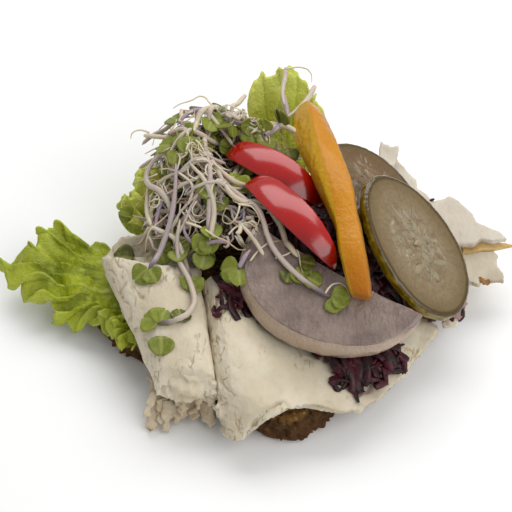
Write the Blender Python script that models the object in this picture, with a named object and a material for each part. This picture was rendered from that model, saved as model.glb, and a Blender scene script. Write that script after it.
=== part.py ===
"""Open sandwich on dark rye: lettuce, folded cold roast slices, red cabbage, poached pear, sprouts,
tomato wedges, a strip of yellow pepper and two slices of pickled cucumber.

Lengths are in millimetres and become metres through MM. +X is right, +Y is back and +Z is up as the
sandwich is served. The origin lies on the bread's flat underside.
"""

import math

import bmesh
import bpy
from mathutils import Matrix, Vector, noise
from mathutils.bvhtree import BVHTree
from mathutils.kdtree import KDTree

MM = 0.001
GAP = 0.6  # clearance between pieces that lie on each other

# The slice of rye bread, laid with one corner to the front.
BREAD_CENTRE = (-4.0, -1.0)
BREAD_HALF = 44.5
BREAD_THICK = 12.0
BREAD_TURN = math.radians(51.0)
BREAD_SQUARENESS = 9.0  # exponent of the superellipse, which rounds the corners
BREAD_WIDEN = 1.05
BREAD_RINGS = (  # height, and how far the ring lies inside the full outline
    (0.0, 1.8),
    (1.6, 0.4),
    (6.0, 0.0),
    (10.2, 0.3),
    (BREAD_THICK, 2.0),
)

LEAF_THICK = 0.9
LEAF_LEVEL = BREAD_THICK + 1.2  # middle of a leaf that lies on the bread

MEAT_THICK = 2.5
MEAT_LEVEL = BREAD_THICK + 2.0  # middle of a slice that lies on the bread
MEAT_STEP = MEAT_THICK + GAP  # from one slice to the next above it
ROLL_LEVEL = LEAF_LEVEL + 2.5  # middle of a slice that lies on a leaf
ROLL_ASIDE = 1.7  # from the roll's right side to the fold beside it, both at their middles
ROLL_SECTION = (  # the scroll: across, and up, from the slice's lower end round to its inner one
    (15.5, 0.0),
    (9.0, 0.0),
    (0.0, 0.0),
    (-9.0, 0.0),
    (-15.0, 1.2),
    (-17.4, 5.8),
    (-14.5, 11.0),
    (-7.0, 13.6),
    (2.0, 14.0),
    (10.0, 12.8),
    (14.8, 9.6),
    (14.2, 5.6),
    (8.0, 4.9),
    (0.0, 6.3),
    (-7.0, 6.6),
)
FOLD_SECTION = (  # the front slice: across from its fold, and up from where it lies
    (17.0, 0.0),
    (8.0, 0.0),
    (2.2, 0.4),
    (0.6, 3.6),
    (1.2, 9.0),
    (4.4, 13.2),
    (10.0, 11.4),
    (17.0, 8.0),
    (26.0, 5.0),
    (36.0, 3.4),
    (46.0, 2.6),
    (58.0, 2.0),
    (74.0, 0.6),
)

PEAR_LENGTH = 59.0
PEAR_DEPTH = 25.5
PEAR_CUT = math.radians(17.0)
PEAR_BELLY = 0.14  # how much wider the lower face is than the upper one

TOMATO_RADIUS = 13.5
TOMATO_CUT = math.radians(50.0)

PEPPER_WALL = 8.4
PEPPER_DEPTH = 9.0
PEPPER_UP = (0.25, -0.45, 0.86)
PEPPER_ROLL = (-0.6, 0.35)  # how far the strip is turned about its own line, from back to front
PEPPER_PATH = (
    (8.5, 49.0, 45.5),
    (10.6, 37.9, 49.5),
    (14.2, 24.0, 52.0),
    (18.2, 10.8, 51.6),
    (20.8, -1.4, 48.8),
    (22.8, -13.4, 45.4),
    (24.2, -23.2, 42.2),
    (25.2, -29.8, 39.4),
)

PICKLE_THICK = 4.2
PICKLE_ROUND = 0.8  # radius of the rims
PICKLE_LIE_BACK = ((0.6, -0.7, -0.3), (0.42, -0.02, 0.90))  # which way its length and its face point
PICKLE_LIE_FRONT = ((0.55, -0.62, -0.56), (0.53, -0.24, 0.81))

# Radii of the two heaps in evenly spaced directions, from +X round.
CABBAGE_MIDDLE = (12.0, 2.0)
CABBAGE_REACH = (33, 33, 31, 30, 28, 27, 25, 24, 24, 29, 33, 31, 40, 54, 40, 33)
SPROUTS_MIDDLE = (-14.0, 28.0)
SPROUTS_REACH = (20, 20, 21, 20, 21, 25, 31, 34, 35, 37, 40, 39, 38, 29, 18, 17)


def material(name, colour, roughness):
    """One finish with a Principled BSDF."""
    made = bpy.data.materials.new(name)
    made.use_nodes = True
    shader = made.node_tree.nodes["Principled BSDF"]
    shader.inputs["Base Color"].default_value = (*colour, 1.0)
    shader.inputs["Roughness"].default_value = roughness
    shader.inputs["Metallic"].default_value = 0.0
    return made


def smoothstep(x):
    x = max(0.0, min(1.0, x))
    return x * x * (3.0 - 2.0 * x)


def mix(a, b, t):
    return a + (b - a) * t


def through(points, t):
    """The value at t, from 0 to 1, of a Catmull-Rom curve through evenly spaced points."""
    spans = len(points) - 1
    at = max(0.0, min(0.9999, t)) * spans
    i = int(at)
    f = at - i
    p0 = Vector(points[max(i - 1, 0)])
    p1 = Vector(points[i])
    p2 = Vector(points[i + 1])
    p3 = Vector(points[min(i + 2, spans)])
    bend = 2.0 * p0 - 5.0 * p1 + 4.0 * p2 - p3
    return 0.5 * (2.0 * p1 + (p2 - p0) * f + bend * f * f + (3.0 * p1 - p0 - 3.0 * p2 + p3) * f**3)


def level(values, t):
    """A single number read from a smooth curve through evenly spaced numbers."""
    return through([(value, 0.0) for value in values], t).x


def ripple(x, y, z, size):
    """Soft noise, about -1 to 1, with bumps that are `size` millimetres wide."""
    return 1.6 * noise.noise(Vector((x, y, z)) / size)


def piece(name, bm, finish):
    """Turns a bmesh in millimetres into a named object in metres."""
    bmesh.ops.remove_doubles(bm, verts=bm.verts, dist=0.001)
    bmesh.ops.scale(bm, vec=(MM, MM, MM), verts=bm.verts)
    bmesh.ops.recalc_face_normals(bm, faces=bm.faces)
    mesh = bpy.data.meshes.new(name)
    bm.to_mesh(mesh)
    bm.free()
    mesh.shade_smooth()
    mesh.set_sharp_from_angle(angle=math.radians(50.0))
    mesh.materials.append(finish)
    made = bpy.data.objects.new(name, mesh)
    bpy.context.scene.collection.objects.link(made)
    return made


def sheet(name, place, columns, rows, thickness, finish):
    """A sheet whose middle at (u, v), each from 0 to 1, is place(u, v) in millimetres."""
    bm = bmesh.new()
    bmesh.ops.create_grid(bm, x_segments=columns, y_segments=rows, size=0.5)
    for vertex in bm.verts:
        vertex.co = place(vertex.co.x + 0.5, vertex.co.y + 0.5)
    made = piece(name, bm, finish)
    wall = made.modifiers.new("thickness", "SOLIDIFY")
    wall.thickness = thickness * MM
    wall.offset = 0.0
    return made


# ---- bread -------------------------------------------------------------------------------------


def bread_reach(angle):
    """How far the bread's edge is from its middle in a direction."""
    turned = angle - BREAD_TURN
    power = BREAD_SQUARENESS
    square = (abs(math.cos(turned)) ** power + abs(math.sin(turned)) ** power) ** (-1.0 / power)
    uneven = 1.0 + 0.010 * math.sin(5.0 * angle + 0.6) + 0.006 * math.sin(11.0 * angle)
    return BREAD_HALF * square * uneven


def past_bread(x, y):
    """Distance beyond the bread's edge, about, and negative over the bread."""
    x = (x - BREAD_CENTRE[0]) / BREAD_WIDEN
    y = y - BREAD_CENTRE[1]
    return math.hypot(x, y) - bread_reach(math.atan2(y, x))


def make_bread(finish):
    """A flat base, a side that bulges a little and a rounded rim of crust."""
    bm = bmesh.new()
    bmesh.ops.create_circle(bm, cap_ends=True, segments=48, radius=1.0)
    top = bm.faces[:][0]
    for ring, (height, inset) in enumerate(BREAD_RINGS):
        if ring > 0:
            grown = bmesh.ops.extrude_face_region(bm, geom=[top])
            if ring > 1:  # the first face stays, as the flat underside
                bmesh.ops.delete(bm, geom=[top], context="FACES_ONLY")
            top = [item for item in grown["geom"] if isinstance(item, bmesh.types.BMFace)][0]
        for vertex in top.verts:
            angle = math.atan2(vertex.co.y, vertex.co.x)
            reach = bread_reach(angle) - inset
            vertex.co = (math.cos(angle) * reach, math.sin(angle) * reach, height)
    for vertex in bm.verts:
        vertex.co.x = vertex.co.x * BREAD_WIDEN + BREAD_CENTRE[0]
        vertex.co.y += BREAD_CENTRE[1]
    return piece("bread", bm, finish)


# ---- lettuce -----------------------------------------------------------------------------------


def leaf(name, foot, turns, reaches, shape, columns, rows, finish):
    """A frilly leaf that fans out from its foot. `turns` are its first and last directions in
    degrees, `reaches` its length in evenly spaced directions, and shape(x, y, out, u) its height.
    """

    def place(u, v):
        angle = math.radians(mix(turns[0], turns[1], u))
        lobes = 1.0 + v * (0.035 * math.sin(u * columns) + 0.03 * ripple(u * 60.0, 0.0, 5.0, 4.0))
        out = mix(5.0, level(reaches, u) * lobes, v)
        x = foot[0] + math.cos(angle) * out
        y = foot[1] + math.sin(angle) * out
        return Vector((x, y, shape(x, y, out, u)))

    return sheet(name, place, columns, rows, LEAF_THICK, finish)


def make_lettuce_left(finish):
    def shape(x, y, out, u):
        beside_roll = (x + 62.0) * -0.929 + (y - 5.0) * -0.371
        free = smoothstep((beside_roll - 1.5) / 9.0)
        droop = mix(1.0, 12.0, smoothstep(u * 1.4 - 0.2)) * smoothstep((past_bread(x, y) - 2.0) / 14.0)
        frill = 3.4 * math.sin(out * 0.33 + u * 9.0) + 2.2 * ripple(x, y, 3.0, 7.0)
        lift = mix(5.0, 1.0, smoothstep(u * 1.6))
        return LEAF_LEVEL + free * (lift + frill) - droop * smoothstep((beside_roll + 4.0) / 8.0)

    reaches = (42.0, 61.0, 61.0, 66.0, 58.0, 46.0, 36.0, 32.0, 29.0, 33.0, 30.0)
    return leaf("lettuce_left", (-30.0, -8.0), (142.0, 226.0), reaches, shape, 26, 12, finish)


def make_lettuce_back_left(finish):
    def shape(x, y, out, u):
        rise = smoothstep((out - 25.0) / 14.0)
        frill = 1.4 * math.sin(u * 16.0) + 1.2 * ripple(x, y, 8.0, 7.0)
        return LEAF_LEVEL + rise * (9.0 + frill)

    reaches = (40.0, 41.0, 42.0, 40.0, 38.0, 36.0)
    return leaf("lettuce_back_left", (-22.0, 12.0), (104.0, 161.0), reaches, shape, 18, 10, finish)


def make_lettuce_back(finish):
    """The leaf that stands up behind the sprouts, with its tip a little curled over."""

    def shape(x, y, out, u):
        rise = max(0.0, (out - 15.0) / 27.0)
        frill = 1.2 * math.sin(u * 14.0) + 1.6 * ripple(x, y, 1.0, 8.0)
        return LEAF_LEVEL + 28.0 * rise**1.25 + frill * smoothstep(rise - 0.2)

    reaches = (33.0, 37.0, 41.0, 43.0, 43.0, 43.0, 41.0)
    return leaf("lettuce_back", (1.0, 28.0), (60.0, 111.0), reaches, shape, 16, 11, finish)


# ---- cold roast --------------------------------------------------------------------------------


def ragged(u, v, amount, seed):
    """An uneven shift in x and y that fades away from a slice's torn edge."""
    edge = 1.0 - min(u, v, 1.0 - u, 1.0 - v) / 0.12
    size = amount * max(0.0, edge)
    dx = ripple(u * 40.0, v * 40.0, seed, 5.0)
    dy = ripple(u * 40.0, v * 40.0, seed + 9.0, 5.0)
    return Vector((dx * size, dy * size, 0.0))


def fold_line(y):
    """Where the front slice is folded under, which is also the right side of the roll."""
    return mix(-25.4, -19.2, max(0.0, -10.0 - y) / 48.0)


def make_meat_roll(finish):
    """The slice rolled up at the left: a flattened scroll that lies open at its back end."""
    back_ends = (13.0, 13.0, 12.0, 11.0, 9.0, 3.5, -1.0, -5.0, -8.0, -8.0, -5.0, -2.0, 1.0, 3.0, 3.0)
    last = len(ROLL_SECTION) - 1
    widest = (ROLL_SECTION[5][0], ROLL_SECTION[0][0])

    def place(u, v):
        across, up = through(ROLL_SECTION, u)
        height = mix(1.0, 0.62, smoothstep(v * 1.2 - 0.2))
        start = level(back_ends, u)
        y = mix(start, -54.0 - 0.16 * across, v) + 1.0 * ripple(u * 60.0, 0.0, v * 9.0, 6.0) * v
        left = mix(-59.4, -38.6, max(0.0, 2.0 - y) / 51.0)
        right = fold_line(y) - ROLL_ASIDE
        x = mix(left, right, (across - widest[0]) / (widest[1] - widest[0]))
        curl = 8.5 * smoothstep((y - 2.5) / 10.0) * smoothstep((5.2 - u * last) / 2.0)
        droop = 8.0 * smoothstep((past_bread(mix(left, right, 0.5), y) - 3.0) / 18.0)
        return Vector((x, y, ROLL_LEVEL + up * height + curl - droop))

    return sheet("meat_roll", place, 36, 7, MEAT_THICK, finish)


def make_meat_shreds(finish):
    """The torn end of the slice under the roll, which hangs down to the table."""

    def place(u, v):
        x = mix(-41.8, -21.5, u) - 2.4 * v * (1.0 - u)
        torn = 2.6 * math.sin(u * 15.0) + 1.8 * ripple(u * 30.0, 0.0, 4.0, 5.0)
        y = mix(mix(-36.0, -47.5, u), -50.6 - 2.6 * math.cos(u * 5.0), v) - torn * v
        fall = smoothstep(v) * mix(1.0, 0.72, smoothstep(u * 1.5 - 0.3))
        return Vector((x, y, 10.4 - 8.4 * fall))

    return sheet("meat_shreds", place, 15, 5, MEAT_THICK * 0.8, finish)


def make_meat_front(finish):
    """The wide slice at the front, folded under along its left side into a high ridge."""
    front_ends = (-58.0, -59.5, -60.5, -59.5, -60.0, -64.0, -64.0, -61.0, -57.0, -56.0, -54.0, -46.5, -29.0)
    back_ends = (-14.0, -13.0, -12.0, -11.0, -9.5, -10.5, -14.5, -19.0, -19.0, -15.0, -10.0, -11.0, -19.0)

    def place(u, v):
        across, up = through(FOLD_SECTION, u)
        y = mix(level(back_ends, u), level(front_ends, u), v)
        spread = mix(1.02, 0.94, v)
        x = fold_line(y) + across * spread
        pinch = mix(1.0, 0.42, smoothstep(v * 1.5 - 0.5))
        sag = mix(10.5, 4.0, smoothstep((across - 6.0) / 14.0))
        droop = sag * smoothstep((past_bread(x, y) - 1.5) / 13.0)
        rumple = 0.5 * ripple(x, y, 2.0, 9.0) * smoothstep((across - 6.0) / 6.0)
        torn = ragged(u, v, 1.2, 2.0)
        return Vector((x, y, MEAT_LEVEL + 0.2 + up * pinch + abs(rumple) - droop)) + torn

    return sheet("meat_front", place, 26, 10, MEAT_THICK, finish)


def flat_slice(name, corners, raised, seed, columns, rows, finish):
    """A slice between four corners, taken round it, with its middle raised a little."""
    a, b, c, d = (Vector(corner) for corner in corners)

    def place(u, v):
        spot = mix(mix(a, b, u), mix(d, c, u), v)
        spot.z += raised * math.sin(math.pi * u) * math.sin(math.pi * v)
        return spot + ragged(u, v, 1.5, seed)

    return sheet(name, place, columns, rows, MEAT_THICK, finish)


def make_meat_back_left(finish):
    """A crumpled slice under the sprouts, arched like a low tunnel."""

    def place(u, v):
        turn = math.pi * mix(0.04, 0.96, u)
        x = mix(-34.0, -30.0, v) - 12.5 * math.cos(turn) * mix(1.0, 0.85, v)
        y = mix(15.5, 32.6, v) + 3.0 * math.cos(turn)
        arch = 12.0 * math.sin(turn) + 1.2 * ripple(u * 30.0, v * 20.0, 5.0, 6.0) * math.sin(turn)
        return Vector((x, y, ROLL_LEVEL + 0.8 + arch))

    return sheet("meat_back_left", place, 14, 7, MEAT_THICK, finish)


def make_right_slices(finish, browned):
    """The slices that stick out at the right, each on the one before, and what is torn off them."""
    low = MEAT_LEVEL
    middle = MEAT_LEVEL + MEAT_STEP
    high = MEAT_LEVEL + 2.0 * MEAT_STEP
    slices = {  # four corners, how far the middle is raised, seed, columns and rows
        "meat_right_low": (
            ((46.0, -4.0, low), (75.0, 1.6, low - 2.4), (72.5, 12.5, low), (46.0, 12.0, low)),
            (0.2, 11.0, 9, 6),
        ),
        "meat_right_middle": (
            ((36.0, 8.0, middle), (76.5, 14.6, middle + 0.8), (58.0, 32.5, middle + 2.4), (34, 23, middle)),
            (0.6, 12.0, 11, 7),
        ),
        "meat_right_back": (
            ((22.0, 15.0, high + 0.2), (47.0, 13.0, high + 0.9), (54.0, 23.5, high + 2.6), (40, 47, 25.0)),
            (0.4, 13.0, 9, 9),
        ),
        "meat_chip": (
            ((29.5, 31.0, 26.8), (35.5, 29.5, 26.8), (41.0, 46.0, 30.5), (35.0, 48.0, 30.5)),
            (0.0, 14.0, 5, 7),
        ),
        "meat_scrap": (
            ((53.5, -21.0, low + 0.6), (57.5, -20.5, low), (62.0, -9.5, low + 1.0), (52.0, -8.5, low + 0.6)),
            (0.6, 15.0, 5, 5),
        ),
    }
    made = [flat_slice(name, corners, *shape, finish) for name, (corners, shape) in slices.items()]

    def rim(u, v):
        """The browned edge of a slice: a long point that lies on its own."""
        half = 2.7 * (1.0 - u) ** 0.7 + 0.5
        y = 15.4 + half * (2.0 * v - 1.0) + 1.2 * u
        return Vector((mix(61.0, 79.0, u), y, low + 0.4 * math.sin(3.0 * u)))

    made.append(sheet("meat_rim", rim, 9, 3, MEAT_THICK * 0.9, browned))
    return made


# ---- rigid toppings ----------------------------------------------------------------------------


def lay(bm, origin, along, up):
    """Moves a shape so that its +X points along, its +Z nearly up, and its origin is at origin."""
    x = Vector(along).normalized()
    y = Vector(up).cross(x).normalized()
    z = x.cross(y)
    turn = Matrix((x, y, z)).transposed().to_4x4()
    bmesh.ops.transform(bm, matrix=Matrix.Translation(origin) @ turn, verts=bm.verts)


def make_pear(finish):
    """A slice of poached pear: half its outline, turned a little about the core to cut a wedge."""
    steps = 22
    bm = bmesh.new()
    outline = []
    for i in range(steps + 1):
        turn = math.pi * i / steps
        plump = 1.0 + 0.10 * math.cos(turn)
        depth = PEAR_DEPTH * math.sin(turn) ** 0.8 * plump
        outline.append(bm.verts.new((PEAR_LENGTH * 0.5 * (1.0 - math.cos(turn)), -depth, 0.0)))
    for i in range(1, 4):  # the cut along the core is a little hollow
        x = PEAR_LENGTH * (1.0 - i / 4.0)
        outline.append(bm.verts.new((x, -1.5, 0.0)))
    half = bm.faces.new(outline)
    bmesh.ops.spin(
        bm, geom=[half], cent=(0.0, 1.0, 0.0), axis=(1.0, 0.0, 0.0), angle=PEAR_CUT, steps=4
    )
    for vertex in bm.verts:
        share = abs(math.atan2(vertex.co.z, 1.0 - vertex.co.y)) / PEAR_CUT
        belly = PEAR_BELLY * math.sin(0.5 * math.pi * min(1.0, share))
        vertex.co.x += (vertex.co.x - PEAR_LENGTH * 0.5) * belly * 0.4
        vertex.co.y *= 1.0 + belly
    lay(bm, (-7.2, -2.9, 43.9), (57.5, -31.1, -12.0), (0.0116, -0.341, 0.94))
    return piece("pear", bm, finish)


def make_tomato(name, start, end, lean, finish):
    """A wedge of a plum tomato, with its skin up and its hollow core side down."""
    start = Vector(start)
    end = Vector(end)
    length = (end - start).length
    steps = 12
    bm = bmesh.new()
    skin = []
    core = []
    for i in range(steps + 1):
        turn = math.pi * i / steps
        x = length * 0.5 * (1.0 - math.cos(turn))
        radius = TOMATO_RADIUS * math.sin(turn) ** 0.85
        skin.append(bm.verts.new((x, 0.0, radius)))
        if 0 < i < steps:
            core.append(bm.verts.new((x, 0.0, radius * 0.30)))
    half = bm.faces.new(skin + core[::-1])
    bmesh.ops.rotate(
        bm, verts=bm.verts, cent=(0.0, 0.0, 0.0), matrix=Matrix.Rotation(-TOMATO_CUT / 2.0, 3, "X")
    )
    bmesh.ops.spin(
        bm, geom=[half], cent=(0.0, 0.0, 0.0), axis=(1.0, 0.0, 0.0), angle=TOMATO_CUT, steps=5
    )
    lay(bm, start, end - start, lean)
    return piece(name, bm, finish)


def make_pepper(finish):
    """A strip cut across a pepper: a bowed bar of rounded square section that turns over a little."""
    steps = 16
    corners = 12
    rings = []
    bm = bmesh.new()
    for i in range(steps + 1):
        t = i / steps
        spot = through(PEPPER_PATH, t)
        ahead = (through(PEPPER_PATH, t + 0.03) - through(PEPPER_PATH, t - 0.03)).normalized()
        side = ahead.cross(Vector(PEPPER_UP)).normalized()
        side = Matrix.Rotation(mix(*PEPPER_ROLL, smoothstep(t * 1.5)), 3, ahead) @ side
        down = ahead.cross(side).normalized()
        taper = 1.0 - 0.22 * smoothstep(abs(2.0 * t - 1.0) * 6.0 - 5.0)
        ring = []
        for k in range(corners):
            turn = 2.0 * math.pi * (k + 0.5) / corners
            square = (abs(math.cos(turn)) ** 5 + abs(math.sin(turn)) ** 5) ** -0.2
            across = math.cos(turn) * square * PEPPER_WALL * 0.5 * taper
            deep = math.sin(turn) * square * PEPPER_DEPTH * 0.5 * taper
            ring.append(bm.verts.new(spot + side * across + down * deep))
        rings.append(ring)
    for ring, following in zip(rings, rings[1:]):
        for k in range(corners):
            bm.faces.new((ring[k - 1], ring[k], following[k], following[k - 1]))
    bm.faces.new(rings[0])
    bm.faces.new(rings[-1][::-1])
    return piece("pepper_strip", bm, finish)


def make_pickle(name, centre, halves, lie, seed, finish):
    """A slice of pickled cucumber: an uneven oval disc with a rounded rim of peel. `halves` are its
    half length and its half width, and `lie` the directions of its length and its face.
    """
    bm = bmesh.new()
    bmesh.ops.create_circle(bm, cap_ends=True, segments=30, radius=1.0)
    grown = bmesh.ops.extrude_face_region(bm, geom=bm.faces[:])
    lifted = [item for item in grown["geom"] if isinstance(item, bmesh.types.BMVert)]
    bmesh.ops.translate(bm, vec=(0.0, 0.0, 1.0), verts=lifted)
    for vertex in bm.verts:
        angle = math.atan2(vertex.co.y, vertex.co.x)
        uneven = 1.0 + 0.035 * math.sin(2.0 * angle + seed)
        uneven += 0.02 * math.sin(3.0 * angle + 2.0 * seed)
        x = math.cos(angle) * halves[0] * uneven
        y = math.sin(angle) * halves[1] * uneven
        vertex.co = (x, y, (vertex.co.z - 0.5) * PICKLE_THICK)
    rims = [edge for edge in bm.edges if abs(edge.verts[0].co.z - edge.verts[1].co.z) < 0.001]
    bmesh.ops.bevel(
        bm, geom=rims, offset=PICKLE_ROUND, segments=2, profile=0.5, affect="EDGES", material=-1
    )
    for vertex in bm.verts:
        bend = ((vertex.co.x / halves[0]) ** 2 - 0.5) * 1.2
        vertex.co.z += bend * math.cos(seed)
    lay(bm, centre, *lie)
    return piece(name, bm, finish)


# ---- heaps -------------------------------------------------------------------------------------


def surfaces(objects):
    """Ray-casting trees of finished objects, and their points with a tree of where each lies."""
    bpy.context.view_layer.update()
    graph = bpy.context.evaluated_depsgraph_get()
    trees = []
    points = []
    for made in objects:
        mesh = made.evaluated_get(graph).to_mesh()
        spots = [vertex.co / MM for vertex in mesh.vertices]
        trees.append(BVHTree.FromPolygons(spots, [face.vertices[:] for face in mesh.polygons]))
        points += spots
    plan = KDTree(len(points))
    for i, spot in enumerate(points):
        plan.insert((spot.x, spot.y, 0.0), i)
    plan.balance()
    return trees, points, plan


def nearest_height(found, x, y, reach, upward):
    """The highest surface within a small disc about (x, y), or the lowest where upward is true."""
    trees, points, plan = found
    heights = [points[i].z for _, i, _ in plan.find_range((x, y, 0.0), reach)]
    ray = Vector((0.0, 0.0, 1.0 if upward else -1.0))
    for k in range(15):
        turn = 2.0 * math.pi * k / 5.0
        ring = reach * (k // 5) / 2.0
        start = Vector((x + math.cos(turn) * ring, y + math.sin(turn) * ring, -150.0 * ray.z))
        hits = [tree.ray_cast(start, ray)[0] for tree in trees]
        heights += [spot.z for spot in hits if spot is not None]
    if not heights:
        return None
    return min(heights) if upward else max(heights)


def heap(name, shape, below, above, reach, finish):
    """A lump that lies on what is below it, keeps under what is above it, and is uneven on top.
    Its shape is its middle, its radii, crown(x, y) for its own height, and the lowest it may come.
    It keeps clear of what lies within `reach` of it.
    """
    middle, reaches, crown, floor = shape
    under = surfaces(below)
    over = surfaces(above)
    bm = bmesh.new()
    bmesh.ops.create_uvsphere(bm, u_segments=27, v_segments=16, radius=1.0)
    loop = tuple(reaches) + (reaches[0],)
    for vertex in bm.verts:
        side = vertex.co.z
        out = math.acos(min(1.0, abs(side))) / (math.pi / 2.0)
        angle = math.atan2(vertex.co.y, vertex.co.x) % (2.0 * math.pi)
        radius = level(loop, angle / (2.0 * math.pi))
        radius *= 1.0 + 0.07 * ripple(math.cos(angle) * 30.0, math.sin(angle) * 30.0, 1.0, 7.0)
        x = middle[0] + math.cos(angle) * radius * out
        y = middle[1] + math.sin(angle) * radius * out
        ground = nearest_height(under, x, y, reach, False)
        low = max(floor, floor if ground is None else ground + GAP)
        high = mix(low + 1.6, max(crown(x, y), low + 1.6), math.sqrt(max(0.0, 1.0 - out**2.5)))
        ceiling = nearest_height(over, x, y, reach, True)
        if ceiling is not None:
            high = min(high, ceiling - GAP)
        if side > 0.001:
            z = high
        elif side < -0.001:
            z = low
        else:
            z = mix(low, high, 0.5)
        vertex.co = (x, y, z)
    return piece(name, bm, finish)


def cabbage_crown(x, y):
    """The cabbage's own height: a mound under the toppings that runs down to the front."""
    mound = 46.0 - 0.016 * ((x - 10.0) ** 2 + (y - 6.0) ** 2)
    return max(17.0, mound) + 1.4 * ripple(x, y, 6.0, 5.0)


def sprouts_crown(x, y):
    """The tangle of sprouts is highest towards the back."""
    slope = 58.0 - 0.012 * (x + 14.0) ** 2 - 0.007 * (y - 38.0) ** 2
    return slope + 3.4 * ripple(x, y, 2.0, 9.0)


# ---- the whole ---------------------------------------------------------------------------------


def main():
    for old in list(bpy.data.objects):
        bpy.data.objects.remove(old, do_unlink=True)

    crumb = material("rye_bread", (0.13, 0.075, 0.04), 0.9)
    green = material("lettuce", (0.27, 0.35, 0.06), 0.5)
    roast = material("cold_roast", (0.66, 0.58, 0.45), 0.75)
    browned = material("browned_rim", (0.55, 0.36, 0.13), 0.6)
    purple = material("red_cabbage", (0.035, 0.012, 0.02), 0.35)
    mauve = material("poached_pear", (0.30, 0.24, 0.23), 0.5)
    red = material("tomato", (0.38, 0.02, 0.015), 0.15)
    orange = material("yellow_pepper", (0.75, 0.36, 0.03), 0.35)
    olive = material("pickled_cucumber", (0.20, 0.16, 0.08), 0.25)
    sprout = material("sprouts", (0.42, 0.40, 0.30), 0.55)

    base = [
        make_bread(crumb),
        make_lettuce_left(green),
        make_lettuce_back_left(green),
        make_lettuce_back(green),
        make_meat_roll(roast),
        make_meat_shreds(roast),
        make_meat_front(roast),
        make_meat_back_left(roast),
    ]
    base += make_right_slices(roast, browned)

    pear = make_pear(mauve)
    toppings = [
        make_tomato("tomato_back", (-18.2, 33.9, 39.0), (14.8, 11.3, 36.3), (-0.127, -0.234, 0.964), red),
        make_tomato("tomato_front", (-11.0, 16.9, 42.0), (17.4, -17.6, 38.5), (-0.064, -0.162, 0.984), red),
        make_pepper(orange),
        make_pickle("pickle_back", (30.5, 20.0, 35.0), (21.0, 17.0), PICKLE_LIE_BACK, 0.9, olive),
        make_pickle("pickle_front", (43.8, -3.4, 33.8), (25.8, 17.2), PICKLE_LIE_FRONT, 2.4, olive),
    ]

    cabbage_shape = (CABBAGE_MIDDLE, CABBAGE_REACH, cabbage_crown, MEAT_LEVEL)
    cabbage = heap("red_cabbage", cabbage_shape, base, toppings + [pear], 5.2, purple)
    sprouts_shape = (SPROUTS_MIDDLE, SPROUTS_REACH, sprouts_crown, ROLL_LEVEL + 4.0)
    heap("sprouts", sprouts_shape, base + [cabbage, pear], toppings, 7.0, sprout)


main()
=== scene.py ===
"""Looks of an open sandwich: dark rye bread, lettuce, folded cold roast, red cabbage, a slice of
poached pear, radish sprouts, tomato, yellow pepper and pickled cucumber.

Shapes are worked out in millimetres and become metres in piece().
"""

import random
from math import atan2, cos, exp, pi, radians, sin

import bmesh
import bpy
from mathutils import Matrix, Vector, noise
from mathutils.bvhtree import BVHTree


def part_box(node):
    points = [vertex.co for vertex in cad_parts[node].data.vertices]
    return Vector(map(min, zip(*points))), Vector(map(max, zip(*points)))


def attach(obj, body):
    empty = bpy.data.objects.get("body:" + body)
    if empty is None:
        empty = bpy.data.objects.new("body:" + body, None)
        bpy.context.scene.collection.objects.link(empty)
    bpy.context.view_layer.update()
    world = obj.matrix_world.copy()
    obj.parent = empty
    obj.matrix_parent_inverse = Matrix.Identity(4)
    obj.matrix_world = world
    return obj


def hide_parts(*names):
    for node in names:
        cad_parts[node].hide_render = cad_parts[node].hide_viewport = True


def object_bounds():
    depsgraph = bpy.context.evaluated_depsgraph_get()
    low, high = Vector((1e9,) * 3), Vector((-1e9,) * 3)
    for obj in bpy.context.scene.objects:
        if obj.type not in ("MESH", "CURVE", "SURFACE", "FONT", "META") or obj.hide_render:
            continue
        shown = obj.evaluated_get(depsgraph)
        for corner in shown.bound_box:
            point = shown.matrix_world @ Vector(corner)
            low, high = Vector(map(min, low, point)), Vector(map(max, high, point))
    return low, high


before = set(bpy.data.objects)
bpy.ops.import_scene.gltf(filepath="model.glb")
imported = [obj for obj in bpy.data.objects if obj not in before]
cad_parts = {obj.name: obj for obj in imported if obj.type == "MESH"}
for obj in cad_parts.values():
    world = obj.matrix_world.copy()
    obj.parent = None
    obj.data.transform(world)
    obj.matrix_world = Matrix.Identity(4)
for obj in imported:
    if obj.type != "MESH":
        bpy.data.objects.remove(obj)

CAD_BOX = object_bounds()

MM = 0.001
UP = Vector((0, 0, 1))


# ---- numbers and routes ----


def smoothstep(x, low=0, high=1):
    x = max(0, min(1, (x - low) / (high - low)))
    return x * x * (3 - 2 * x)


def mix(a, b, t):
    return a + (b - a) * t


def through(points, t):
    """The place at t, from 0 to 1, on a smooth curve through the points."""
    spans = len(points) - 1
    at = max(0, min(0.99999, t)) * spans
    i = int(at)
    f = at - i
    p1 = points[i]
    p2 = points[i + 1]
    p0 = points[i - 1] if i > 0 else p1 * 2 - p2
    p3 = points[i + 2] if i + 2 <= spans else p2 * 2 - p1
    bend = 2 * p0 - 5 * p1 + 4 * p2 - p3
    return 0.5 * (2 * p1 + (p2 - p0) * f + bend * f * f + (3 * p1 - p0 - 3 * p2 + p3) * f**3)


def ripple(spot, size, seed=0):
    """Soft noise, about -1 to 1, with bumps that are `size` millimetres wide."""
    return 1.6 * noise.noise(spot / size + Vector((seed, seed * 1.7, -seed)))


def corner(node, x, y, z):
    """A place in a node's box, in millimetres, by shares of its width, depth and height."""
    low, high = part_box(node)
    return Vector((mix(low.x, high.x, x), mix(low.y, high.y, y), mix(low.z, high.z, z))) / MM


def tree_of(*nodes):
    """A tree for rays and nearest points over CAD nodes, in millimetres."""
    spots = []
    faces = []
    for node in nodes:
        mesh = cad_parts[node].data
        start = len(spots)
        spots += [vertex.co / MM for vertex in mesh.vertices]
        faces += [[start + i for i in face.vertices] for face in mesh.polygons]
    return BVHTree.FromPolygons(spots, faces)


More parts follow.
